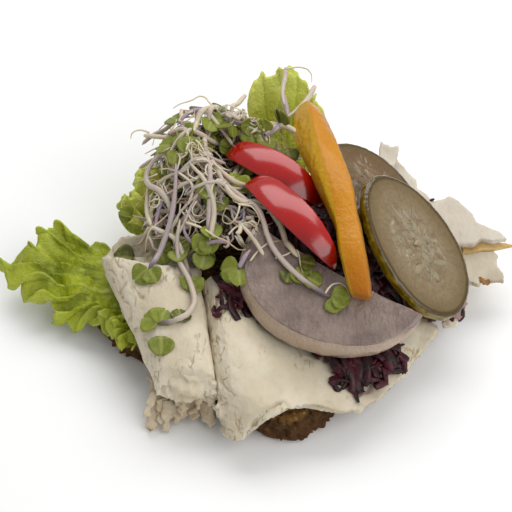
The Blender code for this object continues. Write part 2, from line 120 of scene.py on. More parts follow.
def top_at(tree, x, y):
    """The highest point of a tree's surfaces above (x, y), or None."""
    return tree.ray_cast(Vector((x, y, 200)), -UP)[0]


def drape(tree, start, heading, length, bends=(), lift=(1, 1), floor=0):
    """A route that lies over a tree's surfaces. It starts at (x, y), sets off in a direction in
    degrees, and turns by the bends along its length. `lift` is how high it runs above what it lies
    on, at its start and its end, and `floor` the lowest height of what it can lie on. It is stiff
    enough not to drop steeply, and it sticks out where nothing is below it."""
    fewest, stride = 14, 1.2
    steps = max(fewest, round(length / stride))
    x, y = start
    spots = []
    step = length / steps
    ground = floor
    for i in range(steps + 1):
        t = i / steps
        hit = top_at(tree, x, y)
        lowest = max(floor, ground - step) if i else floor
        ground = max(lowest, hit.z if hit is not None else ground - 0.4 * step)
        spots.append(Vector((x, y, ground + mix(lift[0], lift[1], t))))
        turned = heading
        at = t * (len(bends) + 1)
        for k, bend_by in enumerate(bends):
            turned += bend_by * smoothstep(at, k + 0.2, k + 1.8)
        angle = radians(turned)
        x += cos(angle) * length / steps
        y += sin(angle) * length / steps
    for _ in range(3):
        heights = [spot.z for spot in spots]
        for i in range(1, steps):
            level = 0.25 * heights[i - 1] + 0.5 * heights[i] + 0.25 * heights[i + 1]
            spots[i].z = max(level, heights[i] - 0.6)
    return evenly(spots, min(3, length / 9))


def evenly(spots, spacing):
    """The same route by points about `spacing` millimetres apart."""
    total = sum((b - a).length for a, b in zip(spots, spots[1:]))
    count = max(4, round(total / spacing))
    kept = [spots[0]]
    walked = 0
    for a, b in zip(spots, spots[1:]):
        walked += (b - a).length
        if walked >= total * len(kept) / count and len(kept) < count:
            kept.append(b)
    return kept + [spots[-1]]


# ---- meshes ----


def as_mesh(bm, name):
    mesh = bpy.data.meshes.new(name)
    bm.to_mesh(mesh)
    bm.free()
    return mesh


def new_layers(bm, *names):
    """Layers for numbers that a mesh's vertices carry."""
    return [bm.verts.layers.float.new(name) for name in names]


def smooth(bm, passes):
    for _ in range(passes):
        bmesh.ops.smooth_vert(
            bm, verts=bm.verts, factor=0.5, use_axis_x=True, use_axis_y=True, use_axis_z=True
        )


def piece(name, bm, finish, slot, *stands_for):
    """Turns a bmesh in millimetres into a piece of the sandwich."""
    bmesh.ops.scale(bm, vec=(MM, MM, MM), verts=bm.verts)
    mesh = as_mesh(bm, name)
    mesh.shade_smooth()
    mesh.materials.append(finish)
    made = bpy.data.objects.new(name, mesh)
    bpy.context.scene.collection.objects.link(made)
    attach(made, "root")
    if stands_for:
        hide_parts(*stands_for)
    return made


def cad_copy(node):
    """A merged copy of a CAD node's mesh, in millimetres."""
    bm = bmesh.new()
    bm.from_mesh(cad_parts[node].data)
    bmesh.ops.scale(bm, vec=(1 / MM, 1 / MM, 1 / MM), verts=bm.verts)
    bmesh.ops.remove_doubles(bm, verts=bm.verts, dist=0.002)
    return bm


def with_modifier(bm, kind, **settings):
    """The bmesh after one modifier is applied to it."""
    mesh = as_mesh(bm, "rough")
    rough = bpy.data.objects.new("rough", mesh)
    bpy.context.scene.collection.objects.link(rough)
    modifier = rough.modifiers.new("step", kind)
    for name, value in settings.items():
        setattr(modifier, name, value)
    bpy.context.view_layer.update()
    shaped = rough.evaluated_get(bpy.context.evaluated_depsgraph_get())
    made = bmesh.new()
    made.from_mesh(shaped.to_mesh())
    shaped.to_mesh_clear()
    bpy.data.objects.remove(rough)
    bpy.data.meshes.remove(mesh)
    made.normal_update()
    return made


def even_copy(node, size, passes):
    """A CAD node's shape in even faces of about `size` millimetres, with its edges softened."""
    bm = with_modifier(cad_copy(node), "REMESH", mode="VOXEL", voxel_size=size)
    smooth(bm, passes)
    bm.normal_update()
    return bm


def round_copy(node, levels, crease):
    """A CAD node's shape as a smooth subdivided surface, with its real edges kept by creases."""
    bm = cad_copy(node)
    bmesh.ops.dissolve_limit(bm, angle_limit=radians(0.6), verts=bm.verts, edges=bm.edges)
    sharp = bm.edges.layers.float.new("crease_edge")
    for edge in bm.edges:
        if edge.calc_face_angle(0) > radians(28):
            edge[sharp] = crease
    return with_modifier(bm, "SUBSURF", levels=levels, render_levels=levels)


def shift(bm, amount):
    """Moves every vertex along its normal by amount(vertex), in millimetres."""
    bm.normal_update()
    moves = [(vertex, vertex.normal * amount(vertex)) for vertex in bm.verts]
    for vertex, move in moves:
        vertex.co += move
    bm.normal_update()


# ---- finishes ----


def paint(red, green, blue):
    """A colour given as it looks on a screen, from 0 to 255, as the shader wants it."""
    levels = [c / 255 for c in (red, green, blue)]
    return (*[c / 12.92 if c < 0.04 else ((c + 0.055) / 1.055) ** 2.4 for c in levels], 1)


class Value:
    """A socket that gives a number. An operator on it adds a Math node."""

    def __init__(self, finish, socket):
        self.finish = finish
        self.socket = socket

    def math(self, operation, first, second):
        return self.finish.node("ShaderNodeMath", {"operation": operation}, {0: first, 1: second})

    def __add__(self, other):
        return self.math("ADD", self, other)

    def __sub__(self, other):
        return self.math("SUBTRACT", self, other)

    def __rsub__(self, other):
        return self.math("SUBTRACT", other, self)

    def __mul__(self, other):
        return self.math("MULTIPLY", self, other)

    def most(self, other):
        return self.math("MAXIMUM", self, other)

    def step(self, low, high):
        """0 below low, 1 above high and smooth between them. High may be the lower one."""
        settings = {"interpolation_type": "SMOOTHSTEP"}
        return self.finish.node("ShaderNodeMapRange", settings, {0: self, 1: low, 2: high})


class Finish:
    """A material: one Principled shader with the nodes that feed it. `colour` is what its shades
    have made so far."""

    def __init__(self, name, constants):
        self.material = bpy.data.materials.new(name)
        self.material.use_nodes = True
        self.tree = self.material.node_tree
        self.shader = self.tree.nodes["Principled BSDF"]
        for socket, value in constants.items():
            self.shader.inputs[socket].default_value = value

    def node(self, kind, settings, inputs, output=0):
        """A node of any kind. Its settings come first, then its sockets' values or links."""
        made = self.tree.nodes.new(kind)
        for name, value in settings.items():
            setattr(made, name, value)
        for name, value in inputs.items():
            if isinstance(value, Value):
                self.tree.links.new(value.socket, made.inputs[name])
            else:
                made.inputs[name].default_value = value
        return Value(self, made.outputs[output])

    def place(self, size, stretch=(1, 1, 1), turn=(0, 0, 0), seed=0, warp=0):
        """Object coordinates in units of `size` millimetres, longer along an axis that is stretched."""
        spot = self.node("ShaderNodeTexCoord", {}, {}, "Object")
        scale = tuple(1 / (size * MM * part) for part in stretch)
        inputs = {"Vector": spot, "Rotation": turn, "Scale": scale, "Location": (seed, seed, seed)}
        spot = self.node("ShaderNodeMapping", {}, inputs)
        if warp == 0:
            return spot
        swirl = self.node("ShaderNodeTexNoise", {}, {"Vector": spot, "Scale": 0.8, "Detail": 2}, "Color")
        swirl = self.node("ShaderNodeVectorMath", {"operation": "SCALE"}, {0: swirl, "Scale": warp})
        return self.node("ShaderNodeVectorMath", {"operation": "ADD"}, {0: spot, 1: swirl})

    def clouds(self, size, detail=2, **where):
        """Noise from 0 to 1."""
        inputs = {"Vector": self.place(size, **where), "Scale": 1, "Detail": detail}
        return self.node("ShaderNodeTexNoise", {}, inputs)

    def cells(self, size, feature="F1", **where):
        """Distance in a pattern of cells, in units of their size."""
        inputs = {"Vector": self.place(size, **where), "Scale": 1}
        return self.node("ShaderNodeTexVoronoi", {"feature": feature}, inputs, "Distance")

    def own(self, name):
        """A number that the piece's mesh carries."""
        return self.node("ShaderNodeAttribute", {"attribute_name": name}, {}, "Fac")

    def mixed(self, share, first, second):
        """Starts the colour with two shades, given as they look on a screen, from 0 to 255. The
        share of the second one goes from 0 to 1."""
        first, second = [paint(*look) if isinstance(look, tuple) else look for look in (first, second)]
        inputs = {0: share, 6: first, 7: second}
        self.colour = self.node("ShaderNodeMix", {"data_type": "RGBA"}, inputs, 2)

    def shade(self, share, look):
        """Lays one more shade over the colour."""
        self.mixed(share, self.colour, look)

    def made(self, height=None, depth=0.2):
        """The finished material. A height of 0 to 1 becomes relief that is `depth` mm deep."""
        sockets = {"Base Color": self.colour}
        if height is not None:
            inputs = {"Height": height, "Distance": depth * MM, "Strength": 1}
            sockets["Normal"] = self.node("ShaderNodeBump", {}, inputs)
        for name, value in sockets.items():
            self.tree.links.new(value.socket, self.shader.inputs[name])
        return self.material


def soft(roughness, weight=0, depth=1.5, coat=(0, 0.03)):
    """Constants for a moist food: how rough it is, how deep light sinks into it, in millimetres, and
    how strong and how rough its wet coat is."""
    return {
        "Roughness": roughness,
        "Specular IOR Level": 0.3,
        "Subsurface Weight": weight,
        "Subsurface Radius": (1, 0.55, 0.3),
        "Subsurface Scale": depth * MM,
        "Coat Weight": coat[0],
        "Coat Roughness": coat[1],
    }


def rye_finish():
    f = Finish("rye_crumb", soft(0.85))
    grains = f.cells(2.6, warp=0.6)
    fine = f.clouds(0.8, detail=4)
    f.mixed(f.clouds(7), (84, 54, 20), (122, 88, 38))
    f.shade(grains.step(0.35, 0.1) * 0.6, (160, 124, 66))
    f.shade(f.clouds(2.2, seed=4).step(0.52, 0.68), (44, 26, 8))
    f.shade(f.own("crust") * 0.75, (70, 42, 18))
    f.shade(f.clouds(3.4, seed=9).step(0.66, 0.72) * 0.8, (164, 84, 20))
    return f.made(fine * 0.5 + grains * 0.5, 0.9)


def roast_finish(name, pale, mid, deep):
    """Cold roast: matt, pale and finely grained, and darker down in its cracks."""
    f = Finish(name, soft(0.75, 0.15, 1.5))
    f.mixed(f.clouds(14, detail=3, seed=1).step(0.35, 0.65), pale, mid)
    f.shade(f.clouds(3, detail=4, stretch=(1, 1.8, 1), seed=8).step(0.5, 0.8) * 0.3, deep)
    f.shade(f.clouds(0.8, detail=3, seed=4).step(0.55, 0.8) * 0.25, deep)
    # worn marks where crack lines show; at half strength it also covers where a fold turns under, so the
    # lines there are partly painted shade below the fold.
    broken = f.clouds(2.6, detail=2, seed=6).step(0.46, 0.56) * f.own("worn")
    lines = f.cells(3.4, "DISTANCE_TO_EDGE", stretch=(1, 2.4, 1), warp=0.8).step(0.055, 0.01) * broken
    lines = lines.most(f.own("crack") * 0.6)
    f.shade(lines * 0.7, (172, 146, 102))
    f.shade(f.own("stain"), (112, 66, 78))
    grain = f.clouds(1.3, detail=4, stretch=(1, 1.8, 1), seed=5)
    return f.made(grain * 0.8 - lines * 0.45, 0.5)


def lettuce_finish(name, pale, mid, deep):
    f = Finish(name, soft(0.42, 0.25, 1.2))
    out = f.own("out")
    veins = f.own("vein")
    f.mixed(f.clouds(9, detail=3).step(0.35, 0.65), mid, deep)
    f.shade(out.step(0.75, 1) * 0.55, pale)
    f.shade(f.clouds(4, seed=5).step(0.55, 0.7) * 0.45, pale)
    f.shade(veins * 0.7, (192, 200, 96))
    net = f.cells(2.4, "DISTANCE_TO_EDGE", warp=0.8).step(0.12, 0)
    f.shade(net * 0.12, pale)
    height = f.clouds(2.2, detail=4) * 0.8 + veins * 0.5 + net * 0.12
    return f.made(height, 0.8)


def cabbage_finish(name, seed):
    f = Finish(name, soft(0.45, 0.1, 0.8, coat=(0.1, 0.15)))
    f.mixed(f.clouds(5, seed=seed).step(0.4, 0.65), (34, 5, 9), (76, 19, 31))
    # Lighter purple patches: painted highlights on the wet strips.
    f.shade(f.clouds(2.4, seed=seed + 3).step(0.62, 0.8) * 0.6, (108, 50, 66))
    return f.made(f.clouds(1.1, detail=3, stretch=(1, 2, 1)), 0.35)


def pear_finish():
    f = Finish("poached_pear", soft(0.28, 0.3, 2.5, coat=(0.9, 0.09)))
    rim = f.own("rim")
    streaks = f.clouds(1.2, detail=4, stretch=(1, 2.6, 1), turn=(0, 0, 0.5), warp=1.2)
    f.mixed(f.clouds(9, detail=3, seed=2).step(0.35, 0.65), (124, 105, 98), (148, 130, 118))
    f.shade(streaks.step(0.45, 0.75) * 0.22, (108, 90, 86))
    f.shade(streaks.step(0.45, 0.25) * 0.3, (170, 152, 140))
    f.shade(rim * 0.75, (190, 166, 142))
    ripples = f.clouds(2.6, detail=3, stretch=(1, 2, 1), turn=(0, 0, 0.6), seed=5, warp=2)
    return f.made(streaks * 0.7 + ripples * (1 - rim) + f.clouds(0.8, detail=2) * 0.3, 0.9)


def tomato_finish():
    f = Finish("tomato_skin", soft(0.2, 0.1, 2, coat=(0.9, 0.14)))
    f.mixed(f.clouds(9, seed=1), (184, 14, 6), (156, 6, 4))
    # Painted shade: the side of the skin that faces forward and down, away from the lights, is painted deep
    # crimson.
    f.shade(f.own("low"), (136, 0, 3))
    f.shade(f.clouds(0.9, seed=4).step(0.66, 0.74) * 0.25, (205, 90, 52))
    return f.made(f.clouds(6, detail=1), 0.1)


def pepper_finish():
    f = Finish("yellow_pepper", soft(0.36, 0.15, 1.5, coat=(0.1, 0.2)))
    inner = f.own("inner")
    pits = f.cells(1.5, warp=0.5).step(0.16, 0.02)
    f.mixed(f.clouds(10, seed=3), (206, 140, 3), (190, 122, 2))
    f.shade(f.own("tip"), (172, 100, 2))
    f.shade(inner, (196, 148, 14))
    # The outer skin side is darker amber: partly the skin's own colour, partly painted shade on that side.
    f.shade(f.own("skin"), (160, 104, 2))
    f.shade(f.clouds(3, detail=3, seed=7).step(0.55, 0.8) * inner * 0.6, (206, 174, 72))
    f.shade(pits * 0.22, (170, 100, 16))
    return f.made(f.clouds(1.2, detail=3) - pits * 0.5, 0.3)


def pickle_finish(name, flesh, dull, seeds):
    f = Finish(name, soft(0.25, 0.25, 2.5, coat=(0.7, 0.08)))
    edge = f.own("edge")
    seedy = f.own("seedy")
    peel = f.own("peel")
    ray = f.own("ray")
    f.mixed(f.clouds(8, detail=3), dull, flesh)
    f.shade(f.clouds(1.2, detail=3, seed=2).step(0.4, 0.7) * 0.35, (104, 86, 54))
    f.shade(ray.step(0.5, 0.9) * 0.2, (104, 86, 56))
    f.shade(edge.step(7, 2) * 0.5, (100, 80, 36))
    mottled = seedy * f.clouds(4.6, detail=2, seed=5, warp=1).step(0.36, 0.62)
    f.shade(mottled * 0.75, seeds)
    facets = f.cells(4.6, "DISTANCE_TO_EDGE", warp=1).step(0.07, 0) * seedy
    f.shade(facets * 0.45, (104, 88, 56))
    f.shade(f.own("pip") * 0.3, (182, 168, 134))
    f.shade(edge.step(2.3, 1.1) * 0.9, (72, 54, 4))
    f.shade(peel, (118, 98, 8))
    f.shade(peel * f.clouds(3, seed=3).step(0.5, 0.7), (154, 134, 26))
    return f.made(f.clouds(1.6, detail=3, seed=1) + ray * 0.2 - facets * 0.3, 0.35)


def stem_finish():
    f = Finish("sprout_stems", soft(0.35, 0.35, 1.2))
    along = f.own("along")
    tint = f.own("tint")
    f.mixed(tint.step(0, 0.6), (212, 199, 172), (194, 180, 168))
    f.shade(tint.step(0.6, 1) * 0.7, (150, 130, 162))
    f.shade(f.clouds(9, seed=3).step(0.5, 0.7) * 0.2, (160, 144, 168))
    f.shade(along.step(0.8, 0.97) * 0.85, (84, 70, 84))
    return f.made(f.clouds(0.8, detail=2), 0.12)


def root_finish():
    f = Finish("sprout_roots", soft(0.6, 0.2, 0.8))
    f.mixed(f.own("along").step(0.2, 0.9), (222, 210, 184), (186, 166, 128))
    return f.made(f.clouds(0.5), 0.1)


def seed_leaf_finish():
    f = Finish("sprout_leaves", soft(0.4, 0.2, 0.8))
    tint = f.own("tint")
    f.mixed(tint.step(0, 0.6), (138, 148, 48), (112, 120, 40))
    f.shade(tint.step(0.6, 1), (80, 80, 40))
    f.shade(f.clouds(2).step(0.45, 0.7) * 0.4, (154, 162, 74))
    f.shade(f.own("rib") * 0.5, (172, 176, 96))
    return f.made(f.clouds(0.9) + f.own("rib") * 0.4, 0.2)


def seed_finish():
    f = Finish("sprout_seeds", soft(0.35))
    f.mixed(f.clouds(0.8), (132, 76, 26), (84, 42, 18))
    return f.made(f.clouds(0.4), 0.1)


def shade_finish():
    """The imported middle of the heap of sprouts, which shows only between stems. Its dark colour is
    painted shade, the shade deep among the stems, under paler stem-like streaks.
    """
    f = Finish("sprouts_core_painted_shade", soft(0.7))
    packed = f.cells(1.8, stretch=(1, 1, 4.5), turn=(0.4, 0.3, 0), warp=1.5).step(0.55, 0.15)
    f.mixed(f.clouds(4, detail=3).step(0.45, 0.65), (62, 46, 38), (96, 92, 50))
    f.shade(packed * 0.85, (186, 170, 150))
    return f.made(packed + f.clouds(1.4, detail=3) * 0.5, 1)


# ---- bread ----


def make_bread():
    """Coarse rye bread: a pitted crumb with kernels in it, and a darker crust round the side."""
    bm = even_copy("bread", 0.62, 3)
    (crust,) = new_layers(bm, "crust")
    top = corner("bread", 0, 0, 1).z

    def pitted(vertex):
        spot = vertex.co
        side = smoothstep(1 - abs(vertex.normal.z), 0.3, 0.8)
        vertex[crust] = side * smoothstep(spot.z, 0, 3)
        low = smoothstep(spot.z, 0.4, 2)
        holes = smoothstep(ripple(spot, 3, 2), 0.2, 0.7)
        kernels = smoothstep(ripple(spot, 2.4, 7), 0.2, 0.7)
        rough = 0.8 * ripple(spot, 5.5) + 0.5 * ripple(spot, 1.8, 5) + 1.2 * kernels - 2 * holes
        return low * rough * (0.35 + 0.65 * side)

    shift(bm, pitted)
    for vertex in bm.verts:
        vertex.co.z = max(0, min(top, vertex.co.z))
    piece("rye_bread", bm, rye_finish(), "rye_bread", "bread")


# ---- pieces that follow their CAD nodes ----


def turned_under(spot, start, end):
    """How far a spot is past a step that runs from start to end, from 0 to 1."""
    along = (end - start).normalized()
    flat = Vector((spot.x, spot.y)) - start
    ahead = flat.dot(along)
    aside = flat.x * along.y - flat.y * along.x + 0.5 * ripple(spot, 3)
    length = (end - start).length
    return smoothstep(aside, 0, 0.7) * smoothstep(ahead, -1, 1.5) * smoothstep(length + 1 - ahead, 0, 2.5)


def hang_over(bm, node, down):
    """Draws the upper edge of a roll's near end back and down over its opening."""
    low = corner(node, 0, 0, 0)
    high = corner(node, 1, 1, 1)
    for vertex in bm.verts:
        near = smoothstep(low.y + 12 - vertex.co.y, 0, 12)
        up = smoothstep(vertex.co.z, low.z + 3, high.z - 4)
        left = smoothstep(low.x + 26 - vertex.co.x, 0, 8)
        vertex.co.x -= 2 * left * near
        vertex.co.y += (5.5 - 5.5 * left) * near
        vertex.co.z -= down * near * near * up


def make_roll_filling(finish):
    """The folded roast that shows inside the near end of the roll."""
    bm = bmesh.new()
    bmesh.ops.create_icosphere(bm, subdivisions=5, radius=1)
    middle = corner("meat_roll", 0.74, 0.165, 0.36)
    for vertex in bm.verts:
        x, y, z = vertex.co
        spot = middle + Vector((x * 8.2, y * 7, z * 5.8))
        folds = 0.9 * sin(6.4 * z + 5.1 * x + 2 * ripple(spot, 6))
        vertex.co = spot + Vector((0, -folds + 0.8 * ripple(spot, 2, 4), 0.5 * ripple(spot, 3)))
    piece("roll_filling", bm, finish, "cold_roast")


def make_flakes(name, finish, over, flakes, floor, slot="cold_roast"):
    """Thin torn flakes of roast. Each is where it starts, where it points in degrees, how long and
    wide it is, and how high its ends are above what it lies on, which is at least at `floor`."""
    flat = rod(14, 16, 0.16)
    bm = bmesh.new()
    between = random.Random(8).uniform
    for start, heading, long, wide, lift in flakes:
        bends = (between(-30, 30), between(-30, 30))
        route = drape(over, start, heading, long, bends, lift, floor)
        seed = between(0, 50)

        def ragged(t, wide=wide, seed=seed):
            return wide * (1 - 0.6 * t**3) * (1 + 0.45 * ripple(Vector((t * 6, seed, 0)), 1))

        bend(bm, flat, route, ragged, Vector((between(-0.5, 0.5), between(-0.6, 0.2), 1)), {})
    for vertex in bm.verts:
        spot = vertex.co
        torn = Vector((ripple(spot, 1.5), ripple(spot, 1.5, 3), 0.7 * ripple(spot, 2.4, 6)))
        vertex.co = spot + torn * 0.5
    piece(name, bm, finish, slot)


def make_scraps(torn, stained, brown):
    """Torn flakes under the near end of the roll, beside the pickle, and at the right."""
    low = (
        ((-41, -46.5), -110, 6.5, 1.4, (6, 4)),
        ((-38.5, -47), -80, 6.5, 2, (4, 0.8)),
        ((-36.5, -47.5), -95, 7, 2, (5, 0.8)),
        ((-34.5, -47), -65, 6, 1.5, (3, 0.6)),
        ((-37.5, -46), -100, 6.5, 2.4, (2, 0.6)),
        ((-33, -47.5), -80, 4.5, 1.4, (5, 3)),
        ((-31, -48), -100, 3.5, 1.3, (6, 4)),
        ((-28.5, -48), -70, 4, 1.5, (5, 4)),
        ((-26, -48), -110, 3.5, 1.2, (6, 4)),
        ((-24, -48), -80, 4, 1.2, (5, 4)),
    )
    make_flakes("torn_bits", torn, tree_of("bread", "meat_shreds"), low, 1)
    beside = (
        ((52.5, -12), -70, 8, 2.4, (0.5, 0.8)),
        ((55.5, -12), -60, 7.5, 2.2, (0.6, 1)),
        ((57.5, -9), -50, 6, 1.6, (0.8, 1.2)),
        ((49.5, -15), -80, 5, 1.6, (0.6, 0.8)),
    )
    make_flakes("stained_bits", stained, tree_of("meat_scrap", "meat_front", "bread"), beside, 13)
    corners = (((67, 1.5), -50, 3, 1, (0.2, 0.2)), ((69.5, 1), -80, 2.2, 0.8, (0.2, 0.2)))
    make_flakes("browned_bits", brown, tree_of("meat_right_low"), corners, 12, "browned_rim")


def make_roast(node, name, finish, seed, size=0.55, fringe=1, cracked=1, stains=(), down=0, fold=None):
    """A slice of roast: uneven faces with cracks along its fibre, and torn fibres along its rim.
    `down` is how far its near end hangs down, and `fold` the two ends of a step where the edge
    turns under, with the lower side on the right of the way from one to the other."""
    bm = even_copy(node, size, 4)
    if down > 0:
        hang_over(bm, node, down)
    inside = BVHTree.FromBMesh(bm)
    stain, crack, worn = new_layers(bm, "stain", "crack", "worn")

    def uneven(vertex):
        spot = vertex.co
        inward = -vertex.normal
        through_it = inside.ray_cast(spot + inward * 0.3, inward, 12)[3] or 12
        rim = smoothstep(through_it, 3.4, 6)
        near = [smoothstep(reach - (spot - middle).length, 0, reach * 0.6) for middle, reach in stains]
        vertex[stain] = max(near + [0]) * smoothstep(ripple(spot, 2.6, 8), -0.2, 0.5)
        drawn = Vector((spot.x, spot.y / 3.2, spot.z))
        wavy = drawn + Vector((0.7 * ripple(spot, 4, 9), 0, 0))
        ridge = smoothstep(-vertex.normal.x, 0.15, 0.6)
        where = smoothstep(ripple(spot, 8, seed + 5) + 0.8 * ridge, 0.15, 0.85) * cracked
        fine = where * smoothstep(ripple(spot, 2.6, seed + 6), -0.35, 0.35)
        slit = fine * smoothstep(0.24 - abs(ripple(wavy, 3.6, seed)), 0, 0.24)
        vertex[crack] = slit
        bite = ripple(spot, 4.5, seed) + 0.8 * ripple(spot, 1.7, seed + 3) - 0.25
        plain = 0.55 * ripple(spot, 11, seed) + 0.16 * ripple(spot, 4, seed + 1)
        crumbly = 0.10 * where * ripple(spot, 1.1, seed)
        under = turned_under(spot, *fold) if fold is not None else 0
        # The turned-under part of a fold gets the crack lines at half strength: partly painted shade below
        # the fold.
        vertex[worn] = max(where, 0.5 * under)
        return (plain - 0.5 * slit + crumbly) * (1 - 0.6 * rim) + rim * fringe * bite - 1.6 * under

    shift(bm, uneven)
    return piece(name, bm, finish, "browned_rim" if node == "meat_rim" else "cold_roast", node)


def make_pear():
    bm = round_copy("pear", 4, 0.55)
    (rim,) = new_layers(bm, "rim")
    shift(bm, lambda vertex: 0.22 * ripple(vertex.co, 7) + 0.10 * ripple(vertex.co, 2.4, 3))
    flat = Vector((0.0116, -0.341, 0.94)).normalized()
    for vertex in bm.verts:
        vertex[rim] = smoothstep(1 - abs(vertex.normal.dot(flat)), 0.04, 0.45)
    piece("pear_slice", bm, pear_finish(), "poached_pear", "pear")


def make_tomato(node, finish):
    bm = round_copy(node, 3, 0.75)
    (low,) = new_layers(bm, "low")
    shift(bm, lambda vertex: 0.15 * ripple(vertex.co, 9))
    for vertex in bm.verts:
        # low marks the side that faces forward and down; the finish paints it deep crimson as painted
        # shade.
        vertex[low] = smoothstep(-vertex.normal.y - 0.2 * vertex.normal.z, 0.1, 0.5)
    piece(node + "_wedge", bm, finish, "tomato", node)


def levelled(points, passes):
    """A row of points in which each has been drawn towards its neighbours, over and over."""
    for _ in range(passes):
        inner = [(a + 2 * b + c) / 4 for a, b, c in zip(points, points[1:], points[2:])]
        points = points[:1] + inner + points[-1:]
    return points


def ease(bm, spacing, passes):
    """Takes the kinks out of a strip that runs along Y, by smoothing its middle line."""
    near = min(vertex.co.y for vertex in bm.verts)
    rows = {}
    for vertex in bm.verts:
        rows.setdefault(int((vertex.co.y - near) / spacing), []).append(vertex.co)
    line = []
    for k in range(max(rows) + 1):
        row = rows.get(k)
        line.append(sum(row, Vector()) / len(row) if row else line[-1])
    moves = [b - a for a, b in zip(line, levelled(line, passes))]
    moves = levelled(moves, 3)
    for vertex in bm.verts:
        at = max(0, min(len(line) - 1.001, (vertex.co.y - near) / spacing - 0.5))
        k = int(at)
        moved = mix(moves[k], moves[k + 1], smoothstep(at - k))
        vertex.co += Vector((moved.x, 0, moved.z))


def make_pepper():
    bm = round_copy("pepper_strip", 3, 0.35)
    ease(bm, 5, 6)
    smooth(bm, 6)
    inner, tip, skin = new_layers(bm, "inner", "tip", "skin")
    front = corner("pepper_strip", 0, 0, 0).y
    shift(bm, lambda vertex: 0.30 * ripple(vertex.co, 9) + 0.07 * ripple(vertex.co, 1.8, 2))
    tip_middle = corner("pepper_strip", 0.86, 0, 0).x
    for vertex in bm.verts:
        near = smoothstep(front + 12 - vertex.co.y, 0, 12)
        vertex.co.y -= 0.55 * near * (vertex.co.x - tip_middle)
        vertex[inner] = smoothstep(-vertex.normal.x - 0.35 * vertex.normal.z, 0.05, 0.45)
        flesh = smoothstep(-vertex.normal.x - 0.7 * vertex.normal.z, 0, 0.8)
        thick = smoothstep(vertex.co.y, front + 22, front + 45)
        thick *= smoothstep(-vertex.co.y, -front - 82, -front - 62)
        vertex.co += Vector((-2.4, 0, -1)) * flesh * thick
        # skin marks the outer skin side, painted darker partly for its own colour and partly as painted
        # shade.
        vertex[skin] = smoothstep(vertex.normal.x - 0.2 * vertex.normal.z, 0.35, 0.7)
        vertex[tip] = smoothstep(front + 26 - vertex.co.y, 0, 30)
    piece("pepper", bm, pepper_finish(), "yellow_pepper", "pepper_strip")


def make_pickle(node, finish, face, length):
    """A slice of pickled cucumber with a seedy middle. `face` is where its upper face points, and
    `length` where it is long."""
    bm = even_copy(node, 0.42, 8)
    face = Vector(face).normalized()
    length = Vector(length)
    length = (length - face * length.dot(face)).normalized()
    across = face.cross(length)
    inside = BVHTree.FromBMesh(bm)
    middle = corner(node, 0.5, 0.5, 0.5)
    edge, seedy, peel, ray, pip = new_layers(bm, "edge", "seedy", "peel", "ray", "pip")

    def relief(vertex):
        spot = vertex.co
        flat = spot - middle
        flat -= face * flat.dot(face)
        outward = flat.normalized() if flat.length > 0.5 else length
        start = spot - face * (spot - middle).dot(face) * 0.3
        gap = inside.ray_cast(start, outward, 60)[3] or 0
        side = smoothstep(1 - abs(vertex.normal.dot(face)), 0.35, 0.75)
        share = flat.length / (gap + flat.length + 0.1)
        turn = atan2(flat.dot(across), flat.dot(length))
        vertex[edge] = max(gap, 0) * (1 - side)
        vertex[peel] = side
        vertex[seedy] = smoothstep(share, 0.72, 0.42) * (1 - side)
        stripe = ripple(Vector((turn * 16, share * 2, 0)), 1, 2)
        vertex[ray] = smoothstep(stripe, -0.2, 0.8) * smoothstep(share, 0.3, 0.55) * (1 - side)
        folds = abs(ripple(Vector((flat.dot(across), flat.dot(length) * 0.5, spot.z * 0.2)), 3.8, 4))
        sunk = vertex[seedy] * (0.6 * smoothstep(folds, 0.02, 0.4) - 0.45)
        warts = 0.35 * ripple(spot, 3, 1) * side
        return sunk + warts + 0.12 * ripple(spot, 6) - 0.08 * vertex[ray] * vertex.normal.dot(face)

    shift(bm, relief)
    skin = BVHTree.FromBMesh(bm)
    between = random.Random(21).uniform
    for k in range(12):
        turn = 2 * pi * (k + between(-0.3, 0.3)) / 8
        out = between(4.6, 6.6) if k < 8 else 2.4
        spot = middle + length * cos(turn) * out * 1.7 + across * sin(turn) * out
        hit = skin.ray_cast(spot + face * 12, -face)[0]
        lie = Matrix.Rotation(turn + between(-0.7, 0.7), 3, face)
        size = between(1.1, 1.6)
        before = len(bm.verts)
        bmesh.ops.create_icosphere(bm, subdivisions=3, radius=1)
        bm.verts.ensure_lookup_table()
        for vertex in bm.verts[before:]:
            along, aside, up = vertex.co * size
            slim = 1 - 0.2 * along * along
            flat = lie @ (length * along * 2.4 + across * aside * slim)
            vertex.co = hit - face * 0.2 + flat + face * up * 0.3
            vertex[pip] = smoothstep(up / size, 0.2, 0.9)
            vertex[seedy] = 1
            vertex[edge] = 10
    piece(node.replace("pickle", "gherkin"), bm, finish, "pickled_cucumber", node)


# ---- lettuce ----


